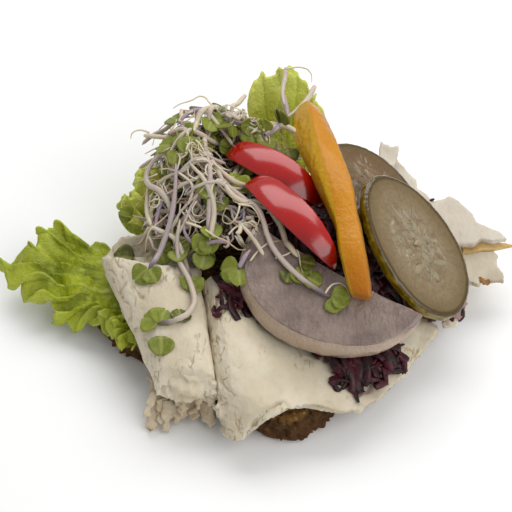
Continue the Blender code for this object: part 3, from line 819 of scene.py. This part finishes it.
def make_lettuce(node, foot, turns, ribs, finish, seed, frill=3.4, lobe=8.5, notch=4, calm=0, raised=0):
    """A frilly leaf over its CAD node. It fans out from its foot, between two directions in degrees,
    and `ribs` are the directions of its main veins. Its rim stands up by `raised`."""
    solid = tree_of(node)
    columns = 250
    rows = 48
    frill_length = 4.9

    def reach_at(angle):
        """Where the node ends in a direction."""
        found = 6
        for step in range(12, 190):
            out = step * 0.5
            if top_at(solid, foot.x + cos(angle) * out, foot.y + sin(angle) * out):
                found = out
        return found

    spokes = 60
    angles = [radians(mix(turns[0], turns[1], i / spokes)) for i in range(spokes + 1)]
    reaches = [Vector((reach_at(angle), 0, 0)) for angle in angles]
    for _ in range(calm):
        before, after = reaches[:1] + reaches, reaches[1:] + reaches[-1:]
        reaches = [(a + b + c) / 3 for a, b, c in zip(before, reaches, after)]
    rim_length = sum(reach.x for reach in reaches) / (spokes + 1) * abs(angles[-1] - angles[0])

    def height_at(x, y, fallback):
        hit = top_at(solid, x, y)
        return fallback if hit is None else hit.z - 0.4

    bm = bmesh.new()
    bmesh.ops.create_grid(bm, x_segments=columns, y_segments=rows, size=0.5)
    out_layer, vein = new_layers(bm, "out", "vein")
    last = {}
    for vertex in sorted(bm.verts, key=lambda v: v.co.y):
        u = vertex.co.x + 0.5
        v = vertex.co.y + 0.5
        column = round(u * columns)
        angle = radians(mix(turns[0], turns[1], u))
        full = through(reaches, u).x
        arc = u * rim_length
        lobes = abs(sin(pi * arc / lobe + seed + 0.5 * ripple(Vector((arc, seed, 0)), 9)))
        teeth = abs(ripple(Vector((arc, seed * 3, 0)), 2.2)) + 0.5 * abs(ripple(Vector((arc, seed, 5)), 1))
        out = mix(5, full - notch * (1 - lobes**0.6) - 1.9 * teeth, v)
        x = foot.x + cos(angle) * out
        y = foot.y + sin(angle) * out
        z = height_at(x, y, last.get(column, foot.z))
        z = mix(last.get(column, z), z, 0.5)
        last[column] = z
        edge = smoothstep(v, 0.5, 1)
        wave = 2 * pi * arc / frill_length + seed + 1.5 * v + 1.2 * ripple(Vector((arc, 0, seed)), 12)
        on_rim = Vector((arc, v * 14, seed))
        crinkle = 0.8 * ripple(on_rim, 3.2) + 0.45 * ripple(on_rim, 1.5)
        curl = frill * edge * (0.9 * sin(wave) + crinkle)
        inland = Vector((x, y, seed))
        curl += (ripple(inland, 5) + 0.6 * ripple(inland, 2.2)) * smoothstep(v, 0, 0.3)
        fold = 2 * edge * cos(wave + seed)
        side = Vector((-sin(angle), cos(angle), 0))
        vertex.co = Vector((x, y, z + curl * 0.75 + raised * v * v)) + side * fold
        vertex[out_layer] = v
        near = min(abs(u * 100 - rib * 100) * (0.25 + v) for rib in ribs)
        branch = abs(sin(u * 42 + v * 9 + seed)) * 3
        line = max(smoothstep(2.2 * (1.1 - v) - near + 0.6, 0, 1), 0.5 * smoothstep(0.45 - branch, 0, 0.4))
        vertex[vein] = line * (1 - 0.6 * v)
    bmesh.ops.recalc_face_normals(bm, faces=bm.faces)
    bm = with_modifier(bm, "SOLIDIFY", thickness=0.55, offset=0)
    piece(node + "_leaf", bm, finish, "lettuce", node)


# ---- long shapes that follow a route ----


def rod(sides, rings, flat=1):
    """A straight rod of unit radius and length along Z, closed at both ends, to be bent."""
    bm = bmesh.new()
    bmesh.ops.create_circle(bm, cap_ends=True, segments=sides, radius=1)
    bmesh.ops.scale(bm, vec=(1, flat, 1), verts=bm.verts)
    face = bm.faces[:][0]
    for ring in range(rings):
        grown = bmesh.ops.extrude_face_region(bm, geom=[face])
        if ring:
            bmesh.ops.delete(bm, geom=[face], context="FACES_ONLY")
        face = [item for item in grown["geom"] if isinstance(item, bmesh.types.BMFace)][0]
        bmesh.ops.translate(bm, vec=(0, 0, 1 / rings), verts=face.verts)
    bmesh.ops.recalc_face_normals(bm, faces=bm.faces)
    return as_mesh(bm, "rod")


def tapered(width, near, along, thin=0, power=1):
    """The width of a strip along its length: full in the middle, and at least a share `thin` of it."""
    return lambda t: width * (thin + (1 - thin) * sin(pi * (near + along * t)) ** power)


def bend(bm, straight, route, radius, up, values):
    """Adds a rod bent along a route. radius(t) is its size at t, `up` is where its +Y points, and
    `values` are the numbers that its vertices carry, by layer."""
    start = len(bm.verts)
    bm.from_mesh(straight)
    bm.verts.ensure_lookup_table()
    rings = {}
    for vertex in bm.verts[start:]:
        t = round(vertex.co.z, 4)
        if t not in rings:
            ahead = (through(route, t + 0.02) - through(route, t - 0.02)).normalized()
            side = ahead.cross(up)
            side = side.normalized() if side.length > 0.05 else ahead.orthogonal().normalized()
            rings[t] = (through(route, t), side, side.cross(ahead), radius(t))
        spot, side, over, size = rings[t]
        vertex.co = spot + (side * vertex.co.x + over * vertex.co.y) * size
        for layer, value in values.items():
            vertex[layer] = t if value is None else value


# ---- red cabbage ----


def crawl(tree, start, heading, length, depth, wander, rng, steps=9):
    """A route that keeps `depth` below the nearest surface of a tree and wanders as it goes."""
    hit = tree.find_nearest(start)
    route = []
    spot = hit[0]
    turn = rng.uniform(-wander, wander)
    for _ in range(steps):
        normal = hit[1]
        route.append(spot - normal * depth)
        turn = 0.6 * turn + rng.uniform(-wander, wander)
        heading = Matrix.Rotation(turn, 3, normal) @ heading
        heading = (heading - normal * heading.dot(normal)).normalized()
        hit = tree.find_nearest(spot + heading * (length / (steps - 1)))
        spot = hit[0]
    return route


def lay_loose_cabbage(bm, strip):
    """Strips and crumbs of cabbage that lie on the roast beside and below the pear."""
    slices = ("meat_front", "meat_roll", "meat_scrap", "meat_right_back", "meat_right_middle")
    over = tree_of(*slices, "red_cabbage")
    between = random.Random(3).uniform
    strips = (
        ((-22, -10), -60, 18, (20, 40), 1.7),
        ((-19, -9), -75, 20, (30, -30), 1.5),
        ((-16, -9), -80, 21, (-30, 50), 1.6),
        ((-13, -9), -70, 20, (10, -30), 1.5),
        ((-20, -16), -20, 13, (-20, 30), 1.4),
        ((-18, -21), 0, 12, (-40, 30), 1.3),
        ((-11, -20), -50, 11, (30, -20), 1.4),
        ((-16, -15), -10, 12, (30, -40), 1.4),
        ((14, -37), -50, 9, (-20, 10), 1.7),
        ((17, -38), -75, 10, (50, -60), 2),
        ((20, -37), -85, 14, (40, -60), 2.1),
        ((23, -38), -60, 12, (-50, 40), 2),
        ((26, -37), -90, 11, (20, -40), 2.2),
        ((29, -38), -100, 8, (50, -30), 2),
        ((32, -36), -50, 7, (-30, 30), 2),
        ((33, -36), -45, 6, (-30,), 1.8),
        ((18, -44), 20, 11, (50, -80), 1.7),
        ((22, -47), 160, 7, (60,), 1.6),
        ((30, -42), 200, 11, (-60, 60), 1.7),
        ((33, -40), 140, 12, (60, -60), 1.6),
    )
    for start, heading, length, bends, width in strips:
        route = drape(over, start, heading, length, bends, (between(0.4, 2), 0.6), 12)
        lean = Vector((between(-0.9, 0.9), between(-0.9, 0.5), 1))
        bend(bm, strip, route, tapered(width, 0.06, 0.86, 0.5, 0.5), lean, {})
    for middle, reach, count in (((23, -41.5), 6.5, 34), ((-15, -17), 7, 22), ((57, -15), 3, 3)):
        for _ in range(count):
            start = (middle[0] + between(-reach, reach), middle[1] + between(-reach, reach))
            if top_at(over, *start) is None:
                continue
            bends = (between(-80, 80), between(-80, 80))
            lift = (between(0.2, 2), between(0.2, 1))
            route = drape(over, start, between(190, 340), between(2.5, 6.5), bends, lift, 12)
            width = between(0.7, 1.4)
            lean = Vector((between(-1, 1), between(-1, 1), 1))
            bend(bm, strip, route, tapered(width, 0.15, 0.7), lean, {})
    route = drape(over, (50.5, 29.5), -60, 3, (), (0.3, 0.3))
    bend(bm, strip, route, tapered(1.1, 0.12, 0.76), UP, {})


def make_cabbage():
    """Shredded red cabbage: glossy curled strips over a smaller dark core."""
    tree = tree_of("red_cabbage")
    core = even_copy("red_cabbage", 1.1, 4)
    shift(core, lambda vertex: -1.5 + 0.8 * ripple(vertex.co, 4))
    piece("red_cabbage_core", core, cabbage_finish("red_cabbage_inside", 1), "red_cabbage", "red_cabbage")
    rng = random.Random(11)
    between = rng.uniform
    strip = rod(8, 12, 0.42)
    bm = bmesh.new()
    low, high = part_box("red_cabbage")
    low = low / MM
    high = high / MM
    wanted = 190
    made = 0
    while made < wanted:
        x = between(low.x, high.x)
        y = between(low.y, high.y)
        hit = top_at(tree, x, y)
        if hit is None:
            continue
        made += 1
        heading = Vector((cos(between(0, 6.28)), sin(between(0, 6.28)), 0))
        length = between(11, 26)
        route = crawl(tree, hit, heading, length, between(0.2, 1.3), 0.55, rng)
        taper = tapered(between(1, 1.7), 0.06, 0.88, 0.35, 0.5)
        bend(bm, strip, route, taper, Vector((between(-0.8, 0.8), between(-0.8, 0.8), 1)), {})
    lay_loose_cabbage(bm, strip)
    piece("red_cabbage_strips", bm, cabbage_finish("red_cabbage", 7), "red_cabbage")


# ---- sprouts ----


class Sprouts:
    """The heap of sprouts: joined stems, roots, seed leaves and seeds."""

    def __init__(self):
        self.rng = random.Random(5)
        self.stems = bmesh.new()
        self.roots = bmesh.new()
        self.leaves = bmesh.new()
        self.seeds = bmesh.new()
        self.stem_values = new_layers(self.stems, "along", "tint")
        self.root_values = new_layers(self.roots, "along")
        self.leaf_values = new_layers(self.leaves, "tint", "rib")
        self.stem = rod(7, 18)
        self.root = rod(5, 16)
        self.leaf = self.seed_leaf()

    def seed_leaf(self):
        """One heart-shaped seed leaf, 1 long from its foot along +Y, flat."""
        bm = bmesh.new()
        bmesh.ops.create_grid(bm, x_segments=8, y_segments=6, size=0.5)
        for vertex in bm.verts:
            across = vertex.co.x * 2
            out = vertex.co.y + 0.5
            half = 0.62 * sin(pi * (0.06 + 0.90 * out**0.8)) ** 0.62
            notch = 0.16 * exp(-((across / 0.35) ** 2)) * out**3
            y = out * (1 - 0.10 * abs(across) * out) - notch
            vertex.co = (across * half, y, 0)
        return as_mesh(bm, "seed_leaf")

    def add_leaf(self, foot, heading, up, size, tint):
        """A seed leaf with its foot at a place, pointing along heading."""
        tint_layer, rib_layer = self.leaf_values
        cup = 0.18
        y = heading.normalized()
        x = y.cross(up).normalized()
        z = x.cross(y)
        start = len(self.leaves.verts)
        self.leaves.from_mesh(self.leaf)
        self.leaves.verts.ensure_lookup_table()
        for vertex in self.leaves.verts[start:]:
            across = vertex.co.x
            out = vertex.co.y
            lift = cup * (across * across * 1.6 - 0.5 * out * out)
            vertex[tint_layer] = tint
            vertex[rib_layer] = smoothstep(0.09 - abs(across), 0, 0.08)
            vertex.co = foot + (x * across + y * out + z * lift) * size

    def along_ground(self, tree, foot, angle, size):
        """A direction in degrees, sloped like what lies below a leaf's tip."""
        points = Vector((cos(radians(angle)), sin(radians(angle)), 0))
        hit = top_at(tree, *(foot + points * size)[:2])
        rise = 0 if hit is None else (hit.z + 1 - foot.z) / size
        points.z = max(-0.4, min(0.5, rise))
        return points.normalized()

    def add_pair(self, spot, heading, up, size, tint):
        """The two seed leaves at the end of a stem."""
        spread = 0.9
        for side in (-1, 1):
            turned = Matrix.Rotation(side * spread * self.rng.uniform(0.8, 1.2), 3, up) @ heading
            shade = max(0, min(1, tint + self.rng.uniform(-0.3, 0.3)))
            self.add_leaf(spot, turned, up, size * self.rng.uniform(0.85, 1.1), shade)

    def add_stem(self, route, thick, tint, tail=0.55, dark_tip=False):
        along, tint_layer = self.stem_values

        def radius(t):
            ends = min(1, 0.35 + t / 0.07, 0.3 + (1 - t) / 0.08)
            return thick * ends * mix(tail, 1, smoothstep(t, 0, 0.45)) * mix(1, 0.75, smoothstep(t, 0.8, 1))

        bend(self.stems, self.stem, route, radius, UP, {along: None if dark_tip else 0, tint_layer: tint})

    def add_root(self, route, thick):
        (along,) = self.root_values
        bend(self.roots, self.root, route, lambda t: thick * mix(1, 0.35, t), UP, {along: None})

    def add_seed(self, spot):
        start = len(self.seeds.verts)
        bmesh.ops.create_icosphere(self.seeds, subdivisions=2, radius=1)
        self.seeds.verts.ensure_lookup_table()
        turn = Matrix.Rotation(self.rng.uniform(0, 3), 3, "Z")
        for vertex in self.seeds.verts[start:]:
            vertex.co = spot + turn @ Vector((vertex.co.x * 1.5, vertex.co.y * 1.2, vertex.co.z * 1))

    def stem_along(self, tree, start, heading, length, bends, thick, tint, pair=None, lift=(1, 1), floor=0):
        """A stem that lies over the sandwich. `pair` is how its two seed leaves point, in degrees,
        and how long they are, or None."""
        route = drape(tree, start, heading, length, bends, lift, floor)
        self.add_stem(route, thick, tint, dark_tip=pair is not None)
        if pair is not None:
            first, second, size = pair
            for k, angle in enumerate((first, second)):
                points = self.along_ground(tree, route[-1], angle, size)
                up = Vector((self.rng.uniform(-0.2, 0.2), self.rng.uniform(-0.7, -0.3), 1)).normalized()
                self.add_leaf(route[-1], points, up, size * (1 - 0.12 * k), self.rng.uniform(0.2, 0.6))

    def root_along(self, tree, start, heading, length, bends, thick=0.38, lift=(1, 1), floor=0):
        self.add_root(drape(tree, start, heading, length, bends, lift, floor), thick)

    def leaf_at(self, tree, start, heading, size, tint, lift=1, tilt=(0, 0), floor=0):
        """A seed leaf that lies on the sandwich at (x, y) and points in a direction in degrees."""
        (spot,) = drape(tree, start, heading, 1, (), (lift, lift), floor)[:1]
        points = self.along_ground(tree, spot, heading, size)
        self.add_leaf(spot, points, Vector((tilt[0], tilt[1], 1)).normalized(), size, tint)


def beside_heap(x, y, low):
    """Whether a place is on the heap's near end or left edge, where only single stems lie."""
    return y < low.y + 14 or x < low.x + 4 + 0.25 * (y - low.y - 17)


def between_wedges(route):
    """Whether a route comes up between the two wedges of tomato."""
    near = corner("tomato_back", 0.3, -0.15, 0.5)
    far = corner("tomato_front", 1, 1.15, 0.5)
    return any(spot.x > near.x and near.y < spot.y < far.y and spot.z > near.z for spot in route)


def strew(s, heap, low, high):
    """What fills the heap below its top: stems with leaves."""
    rng = s.rng
    between = rng.uniform
    wanted = 130
    made = 0
    while made < wanted:
        x = between(low.x, high.x)
        y = between(low.y, high.y)
        z = between(low.z, high.z)
        hit = heap.find_nearest(Vector((x, y, z)))
        if hit[1].z < -0.2 or hit[0].z < low.z + 2 or beside_heap(hit[0].x, hit[0].y, low):
            continue
        made += 1
        heading = Vector((between(-1, 1), between(-1, 1), between(-0.3, 0.4)))
        depth = between(1.6, 5.5)
        route = crawl(heap, hit[0], heading, between(16, 32), depth, 0.42, rng, 11)
        if between_wedges(route):
            continue
        s.add_stem(route, between(0.4, 0.85), between(0, 0.9), tail=0.4)
        if made % 3 == 0:
            ahead = (route[-1] - route[-2]).normalized()
            up = (hit[1] + Vector((between(-0.6, 0.6), between(-0.6, 0.6), 0.4))).normalized()
            s.add_pair(route[-1], ahead, up, between(4.5, 6.5), between(0.2, 0.9))


def hang_down(s, heap, low, high):
    """Stems that hang down the back of the heap, and leaves between them."""
    rng = s.rng
    between = rng.uniform
    middle = (low + high) / 2
    for k in range(100):
        turn = between(0.9, 2.4)
        out = Matrix.Rotation(turn, 3, "Z") @ Vector((60, 0, 0))
        height = mix(low.z, high.z, between(0.25, 0.75))
        hit = heap.ray_cast(Vector((middle.x + out.x, middle.y + out.y, height)), -out)
        if hit[0] is None or beside_heap(hit[0].x - 1, hit[0].y, low):
            continue
        down = Vector((between(-0.7, 0.7), between(-0.7, 0.7), -1))
        length = min(24, 1.3 * (hit[0].z - low.z) + 2)
        route = crawl(heap, hit[0], down, length, between(0.3, 2.5), 0.3, rng)
        s.add_stem(route, between(0.4, 0.85), between(0, 0.9), tail=0.6)
        if k % 3 == 0 and turn < 2.1:
            up = (hit[1] + Vector((0, 0, 0.5))).normalized()
            s.add_pair(route[-3], down + hit[1], up, between(4.5, 6.5), between(0.2, 0.9))


def scatter_over(s, heap, over, low, high):
    """Loose stems and roots that cross over the heap at random."""
    rng = s.rng
    between = rng.uniform
    tomatoes = tree_of("tomato_back", "tomato_front")
    wanted = 100
    made = 0
    while made < wanted:
        start = (between(low.x + 6, high.x), between(low.y + 8, high.y))
        if top_at(heap, *start) is None or beside_heap(*start, low) or top_at(tomatoes, *start) is not None:
            continue
        made += 1
        heading = between(0, 360)
        lift = (between(0.5, 3), between(0.5, 3))
        if made % 5 < 1:
            bends = [between(-80, 80) for _ in range(3)]
            route = drape(over, start, heading, between(14, 24), bends, lift)
            if not between_wedges(route):
                s.add_stem(route, between(0.4, 0.8), rng.random(), tail=0.5)
        else:
            hook = rng.choice((-1, 1))
            bends = [hook * between(-20, 120) for _ in range(3)]
            route = drape(over, start, heading, between(8, 18), bends, lift)
            if not between_wedges(route):
                s.add_root(route, between(0.22, 0.36))


# Stems that lie on top, longest and thickest first: where each starts and points, its length and
# bends, how thick and how purple it is, its pair of seed leaves, and its lift and floor.
STEMS = (
    ((-31, 7.5), 15, 65, (-30, -36, -31, 30, 11, 13), 0.95, 0.6, (0, -60, 6.6), (3.5, 1.5)),
    ((-33, 2), -102, 43.5, (40, -6, -14, -52, -48), 1, 0.4, (140, 62, 7.4), (3, 1.8)),
    ((-34.5, 18.5), -90, 32, (-14, -14, 5), 0.95, 0.8, (-150, -60, 6.6), (4, 2)),
    ((-36.5, 26.5), 175, 29, (80, 50, 10, -25), 1, 0.5, None, (3, 2)),
    ((-10, 5.6), -25, 26, (-28, -28, 30), 1.05, 0, None, (4, 1.5)),
    ((-25, 23.5), -78, 29, (-15, 0), 0.9, 0.7, (-140, -80, 6.6), (3, 2)),
    ((-49.5, 7), -20, 31, (-15, -25, -15), 0.85, 0.1, (-60, -110, 6), (2, 2)),
    ((-28.5, 28.5), 90, 16, (-20, -30), 1, 0, None, (3, 2)),
    ((-25, 31), 85, 14, (-25,), 0.95, 0.2, None, (3, 2)),
    ((-17, 37.5), 80, 15, (-25,), 0.85, 0, None, (2, 4), 47),
    ((-10, 34.5), 40, 24, (-35, -45, -30), 1.05, 0.1, None, (2, 1), 47),
    ((-20, 37), 5, 14, (-30,), 0.8, 0.5, None, (2, 2), 44),
    ((-34.5, 36), 50, 21, (-20, -20), 0.95, 0.95, None, (2, 2), 44),
    ((-34, 34), 172, 12, (), 0.8, 0.2, None, (1, 1), 46),
    ((-33, 36), 92, 8, (), 0.7, 0.1, None, (1, 4), 46),
    ((-44, 20), -95, 16, (20,), 0.8, 0.2, None, (2, 2)),
    ((-22, 39), -120, 30, (30, 15, 10, 5), 0.95, 0.4, None, (2, 3)),
    ((-12, 31), -115, 24, (20, -30, 20), 0.95, 0.3, None, (2, 3)),
    ((-30, 17), -50, 26, (-10, -5, -35, 0), 0.95, 0.3, None, (3, 2)),
    ((-22, 16), -20, 18, (40, -60), 0.95, 0.1, None, (3, 3)),
    ((-19, 12), -75, 16, (60, 30), 1, 0.2, None, (3, 3)),
    ((-14, -4), -60, 13, (30, -30), 0.7, 0.2, None, (3, 2)),
    ((-36, 15), 25, 21, (-15, -30, -5), 0.75, 0.5, None, (2, 2)),
    ((-39, 12), 0, 17, (0, 15), 0.7, 0.4, None, (2, 2)),
    ((2, 44), 45, 19, (15, 10), 0.95, 0.3, None, (1, 1), 46),
    ((1.5, 50), 98, 19, (-20, 10), 0.8, 0.5, None, (3, 3), 44),
    ((3, 46), 100, 12, (), 1, 0.8, None, (1, 1), 44),
    ((-10, -12), -130, 6, (), 0.8, 0.9, (168, -85, 7.2), (2, 2)),
    ((-38, 22), 60, 22, (-20, -30, 10), 0.9, 0.3, (60, 0, 5.5), (3, 1)),
    ((-14, 22), 60, 16, (-20, -40), 0.95, 0.2, None, (2, 1)),
)


# Thin roots that curl over the stems: start, direction, length, bends, thickness, lift and floor.
ROOTS = (
    ((-31, 0), -20, 24, (-40, 20, 30), 0.5, (4, 3)),
    ((4, -10), -60, 10, (-30, 20), 0.38, (2, 2)),
    ((-11, 47), 110, 8, (-50, -120), 0.38, (5, 3)),
    ((2, 66), 20, 14, (-25, -60, -30), 0.38, (3, 2), 46),
    ((-33, 43), 45, 7, (-60, -90), 0.38, (4, 3)),
    ((-21, 41), 135, 20, (-30, 135, -50, 40), 0.38, (2, 2), 52),
    ((-23, 5), 80, 17, (-50, -70, -30), 0.42, (3, 3)),
    ((-28, 17), 0, 11, (-40, -50, -20), 0.38, (3, 3)),
    ((-43, 12), -10, 9, (-25, 5), 0.38, (2, 2)),
    ((-17, -8), 45, 12, (-45, -50), 0.38, (2, 2)),
    ((-10, -15), 55, 16, (-20, -20, 45)),
    ((-2, -14), 15, 12, (30, -60)),
    ((14, -26), 60, 12, (-40, -60, -40), 0.38, (2, 1)),
    ((-22, 30), 20, 16, (-60, 90, 60), 0.38, (2, 2)),
    ((-44, 36), 150, 9, (60, 60), 0.38, (2, 2), 46),
)


# Loose seed leaves between the stems: start, direction, length, how dark, lift, tilt and floor.
LEAVES = (
    ((-38.5, -36.5), -90, 7, 0.6, 1.4, (0.1, -0.3)),
    ((-32, -32), 100, 5.8, 0.9, 1.2, (0.4, -0.3)),
    ((-24, -1), -60, 6.4, 0.3, 2, (0.5, -0.4)),
    ((-27, 7), 30, 6.4, 0.5, 2, (-0.3, -0.5)),
    ((-30, 27), -90, 7.4, 0.5, 2, (0.2, -0.5)),
    ((-34, 33), -60, 8, 0.5, 1.5, (-0.2, -0.6)),
    ((-26, 36), -40, 5.5, 0.3, 1, (-0.3, -0.4)),
    ((-8, 33), 10, 7.6, 0.3, 2, (-0.2, -0.6), 45),
    ((-15, 38), 0, 6.5, 0.2, 2, (0.2, -0.6)),
    ((-49, 4), 175, 7.5, 0.9, 1.5, (-0.2, -0.4)),
    ((5, -17), -60, 6.4, 0.6),
    ((8, -20), -30, 6, 0.7),
    ((6, -15), -10, 5.6, 0.9),
    ((3, -18), -110, 5, 1),
    ((-34, 23), -110, 5.4, 0.4, 2, (0.3, -0.4)),
    ((-15, 18), -60, 7, 0, 3, (-0.2, -0.6)),
    ((-13, 20), -120, 6, 0, 3, (0.3, -0.6)),
    ((-1, 31), -100, 6, 1, 1, (0, -0.8), 38),
    ((2, 32), -70, 6, 0.8, 1, (0.2, -0.8), 38),
    ((-3, 30), -140, 5.8, 0.9, 1, (0.2, -0.8), 38),
    ((-13, 28), -60, 6.6, 0.2, 2, (-0.2, -0.6), 40),
    ((-25, -8), -100, 6.2, 0.5, 1.5, (0.4, -0.4)),
    ((-36, 28), 150, 6.6, 0.3, 1.5, (-0.2, 0)),
    ((-34, 38), 120, 6.6, 0.6, 1.5, (-0.2, 0)),
    ((-28, 42), 60, 6.6, 0.9, 1.5, (-0.2, 0.2)),
    ((-22, 44), 40, 6, 1, 1.5, (0, 0.2)),
    ((-16, 50), 100, 5.6, 0.4, 1, (0, 0.5)),
)


def make_sprouts():
    """The heap of radish sprouts: real stems, roots and leaves over a smaller core, whose dark colour is
    painted shade.
    """
    heap = tree_of("sprouts")
    above = ("tomato", "pepper", "pickle")
    over = tree_of(*[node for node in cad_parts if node.split("_")[0] not in above])
    low = corner("sprouts", 0, 0, 0)
    high = corner("sprouts", 1, 1, 1)
    core = even_copy("sprouts", 1.4, 6)
    foot = corner("sprouts", 0.5, 0.5, 0)
    wide = 0.78
    tall = 0.74
    for vertex in core.verts:
        out = vertex.co - foot
        vertex.co = foot + Vector((out.x * wide, out.y * wide, out.z * tall))
    shift(core, lambda vertex: 1.4 * ripple(vertex.co, 4))
    # The core's dark finish is painted shade, for the shade deep inside the heap.
    piece("sprouts_core_painted_shade", core, shade_finish(), "sprouts", "sprouts")
    s = Sprouts()
    strew(s, heap, low, high)
    hang_down(s, heap, low, high)
    scatter_over(s, heap, over, low, high)
    for stem in STEMS:
        s.stem_along(over, *stem)
    for root in ROOTS:
        s.root_along(over, *root)
    for leaf in LEAVES:
        s.leaf_at(over, *leaf)
    for spot in ((-8, 43), (-41, 7)):
        s.add_seed(drape(over, spot, 0, 1)[0])
    leaves = with_modifier(s.leaves, "SOLIDIFY", thickness=0.35, offset=0)
    piece("sprout_stems", s.stems, stem_finish(), "sprouts")
    piece("sprout_roots", s.roots, root_finish(), "sprouts")
    piece("sprout_leaves", leaves, seed_leaf_finish(), "sprouts")
    piece("sprout_seeds", s.seeds, seed_finish(), "sprouts")


# ---- studio ----


def aim(made, place, target):
    made.location = place
    made.rotation_euler = (Vector(target) - Vector(place)).to_track_quat("-Z", "Y").to_euler()
    bpy.context.scene.collection.objects.link(made)


def area_light(name, place, target, width, height, watts):
    light = bpy.data.lights.new(name, "AREA")
    light.shape = "RECTANGLE"
    light.size = width
    light.size_y = height
    light.energy = watts
    aim(bpy.data.objects.new(name, light), place, target)


def make_studio():
    """A pale floor, a large soft light above and behind, and a fill from the whole room."""
    middle = (CAD_BOX[0] + CAD_BOX[1]) / 2
    target = Vector((middle.x + 0.0005, middle.y + 0.0015, 0.020))
    elevation = radians(48)
    away = 0.75
    view = Vector((0, cos(elevation), -sin(elevation)))
    lens = bpy.data.cameras.new("camera")
    lens.sensor_width = 36
    lens.lens = 157.4
    camera = bpy.data.objects.new("camera", lens)
    aim(camera, target - view * away, target)
    bpy.context.scene.camera = camera

    area_light("soft_box", target + Vector((0.02, 0.42, 0.60)), target, 0.9, 0.5, 3.8)
    area_light("fill", target + Vector((0.40, -0.35, 0.50)), target, 0.6, 0.6, 2.4)

    bm = bmesh.new()
    bmesh.ops.create_grid(bm, x_segments=1, y_segments=1, size=3)
    mesh = as_mesh(bm, "floor")
    f = Finish("floor", {"Roughness": 0.9})
    f.mixed(f.clouds(400), (253, 253, 253), (251, 251, 251))
    mesh.materials.append(f.made())
    floor = bpy.data.objects.new("floor", mesh)
    bpy.context.scene.collection.objects.link(floor)

    world = bpy.data.worlds.new("room")
    world.use_nodes = True
    world.node_tree.nodes["Background"].inputs["Color"].default_value = (1, 1, 1, 1)
    world.node_tree.nodes["Background"].inputs["Strength"].default_value = 0.42
    bpy.context.scene.world = world
    bpy.context.scene.view_settings.view_transform = "Standard"


# ---- the whole ----


def main():
    make_studio()
    make_bread()
    roast = roast_finish("cold_roast", (218, 208, 186), (204, 192, 167), (186, 168, 134))
    pale = roast_finish("pale_roast", (214, 206, 191), (205, 195, 179), (182, 168, 144))
    # A darker copy of the roast: painted shade for the steep low slice at the right.
    shaded = roast_finish("painted_shade_roast", (204, 194, 174), (190, 178, 156), (168, 150, 120))
    worn = roast_finish("torn_roast", (208, 194, 168), (190, 172, 144), (150, 126, 98))
    stained = roast_finish("stained_roast", (184, 158, 152), (154, 120, 122), (104, 66, 76))
    burnt = roast_finish("burnt_rim", (150, 108, 58), (118, 80, 38), (78, 48, 22))
    brown = roast_finish("browned_rim", (216, 188, 134), (204, 168, 106), (164, 122, 68))
    scraps = corner("meat_scrap", 0.6, 0.4, 0.5)
    juice = ((Vector((25, -47, 20)), 10), (Vector((-15, -20, 26)), 9))
    make_roast("meat_roll", "rolled_slice", roast, 1, down=5)
    make_roll_filling(roast)
    make_scraps(worn, stained, burnt)
    make_roast("meat_shreds", "torn_shreds", worn, 2, 0.45, 2.2)
    lip = (Vector((-12.5, -63.5)), Vector((0.5, -54)))
    make_roast("meat_front", "front_slice", roast, 3, 0.5, 1.3, stains=juice, fold=lip)
    make_roast("meat_back_left", "crumpled_slice", roast, 4)
    # The low slice takes the darker copy of the roast as painted shade.
    make_roast("meat_right_low", "low_slice", shaded, 5, 0.5, 0.8, cracked=0.4)
    make_roast("meat_right_middle", "middle_slice", pale, 6, 0.5, 0.4, cracked=0.2)
    make_roast("meat_right_back", "back_slice", pale, 7, 0.5, 0.4, cracked=0)
    make_roast("meat_chip", "thin_chip", pale, 8, 0.45, 0.2, cracked=0)
    make_roast("meat_scrap", "stained_scrap", roast, 9, 0.45, 0.6, stains=((scraps, 9),))
    rim = make_roast("meat_rim", "browned_edge", brown, 10, 0.45, 0.4)
    for vertex in rim.data.vertices:
        vertex.co += Vector((0, -1.6, 0.6)) * MM
    green = lettuce_finish("lettuce", (194, 204, 76), (160, 171, 24), (116, 128, 8))
    fresh = lettuce_finish("pale_lettuce", (216, 223, 116), (196, 204, 78), (168, 177, 48))
    make_lettuce("lettuce_left", Vector((-30, -8, 13.2)), (143, 225), (0.36, 0.62), green, 1)
    make_lettuce("lettuce_back_left", Vector((-22, 12, 13.2)), (105, 160), (0.3, 0.7), fresh, 2)
    make_lettuce("lettuce_back", Vector((1, 28, 13.2)), (54, 124), (0.5,), fresh, 3, 2.2, 5.5, 1.6, 20, 4)
    make_cabbage()
    make_pear()
    tomato = tomato_finish()
    make_tomato("tomato_back", tomato)
    make_tomato("tomato_front", tomato)
    make_pepper()
    pickle = pickle_finish("pickled_cucumber", (146, 127, 96), (126, 107, 77), (152, 136, 106))
    brownish = pickle_finish("brown_pickled_cucumber", (122, 94, 58), (100, 74, 42), (130, 104, 70))
    make_pickle("pickle_back", brownish, (0.42, -0.02, 0.90), (0.6, -0.7, -0.3))
    make_pickle("pickle_front", pickle, (0.53, -0.24, 0.81), (0.55, -0.62, -0.56))
    make_sprouts()


main()
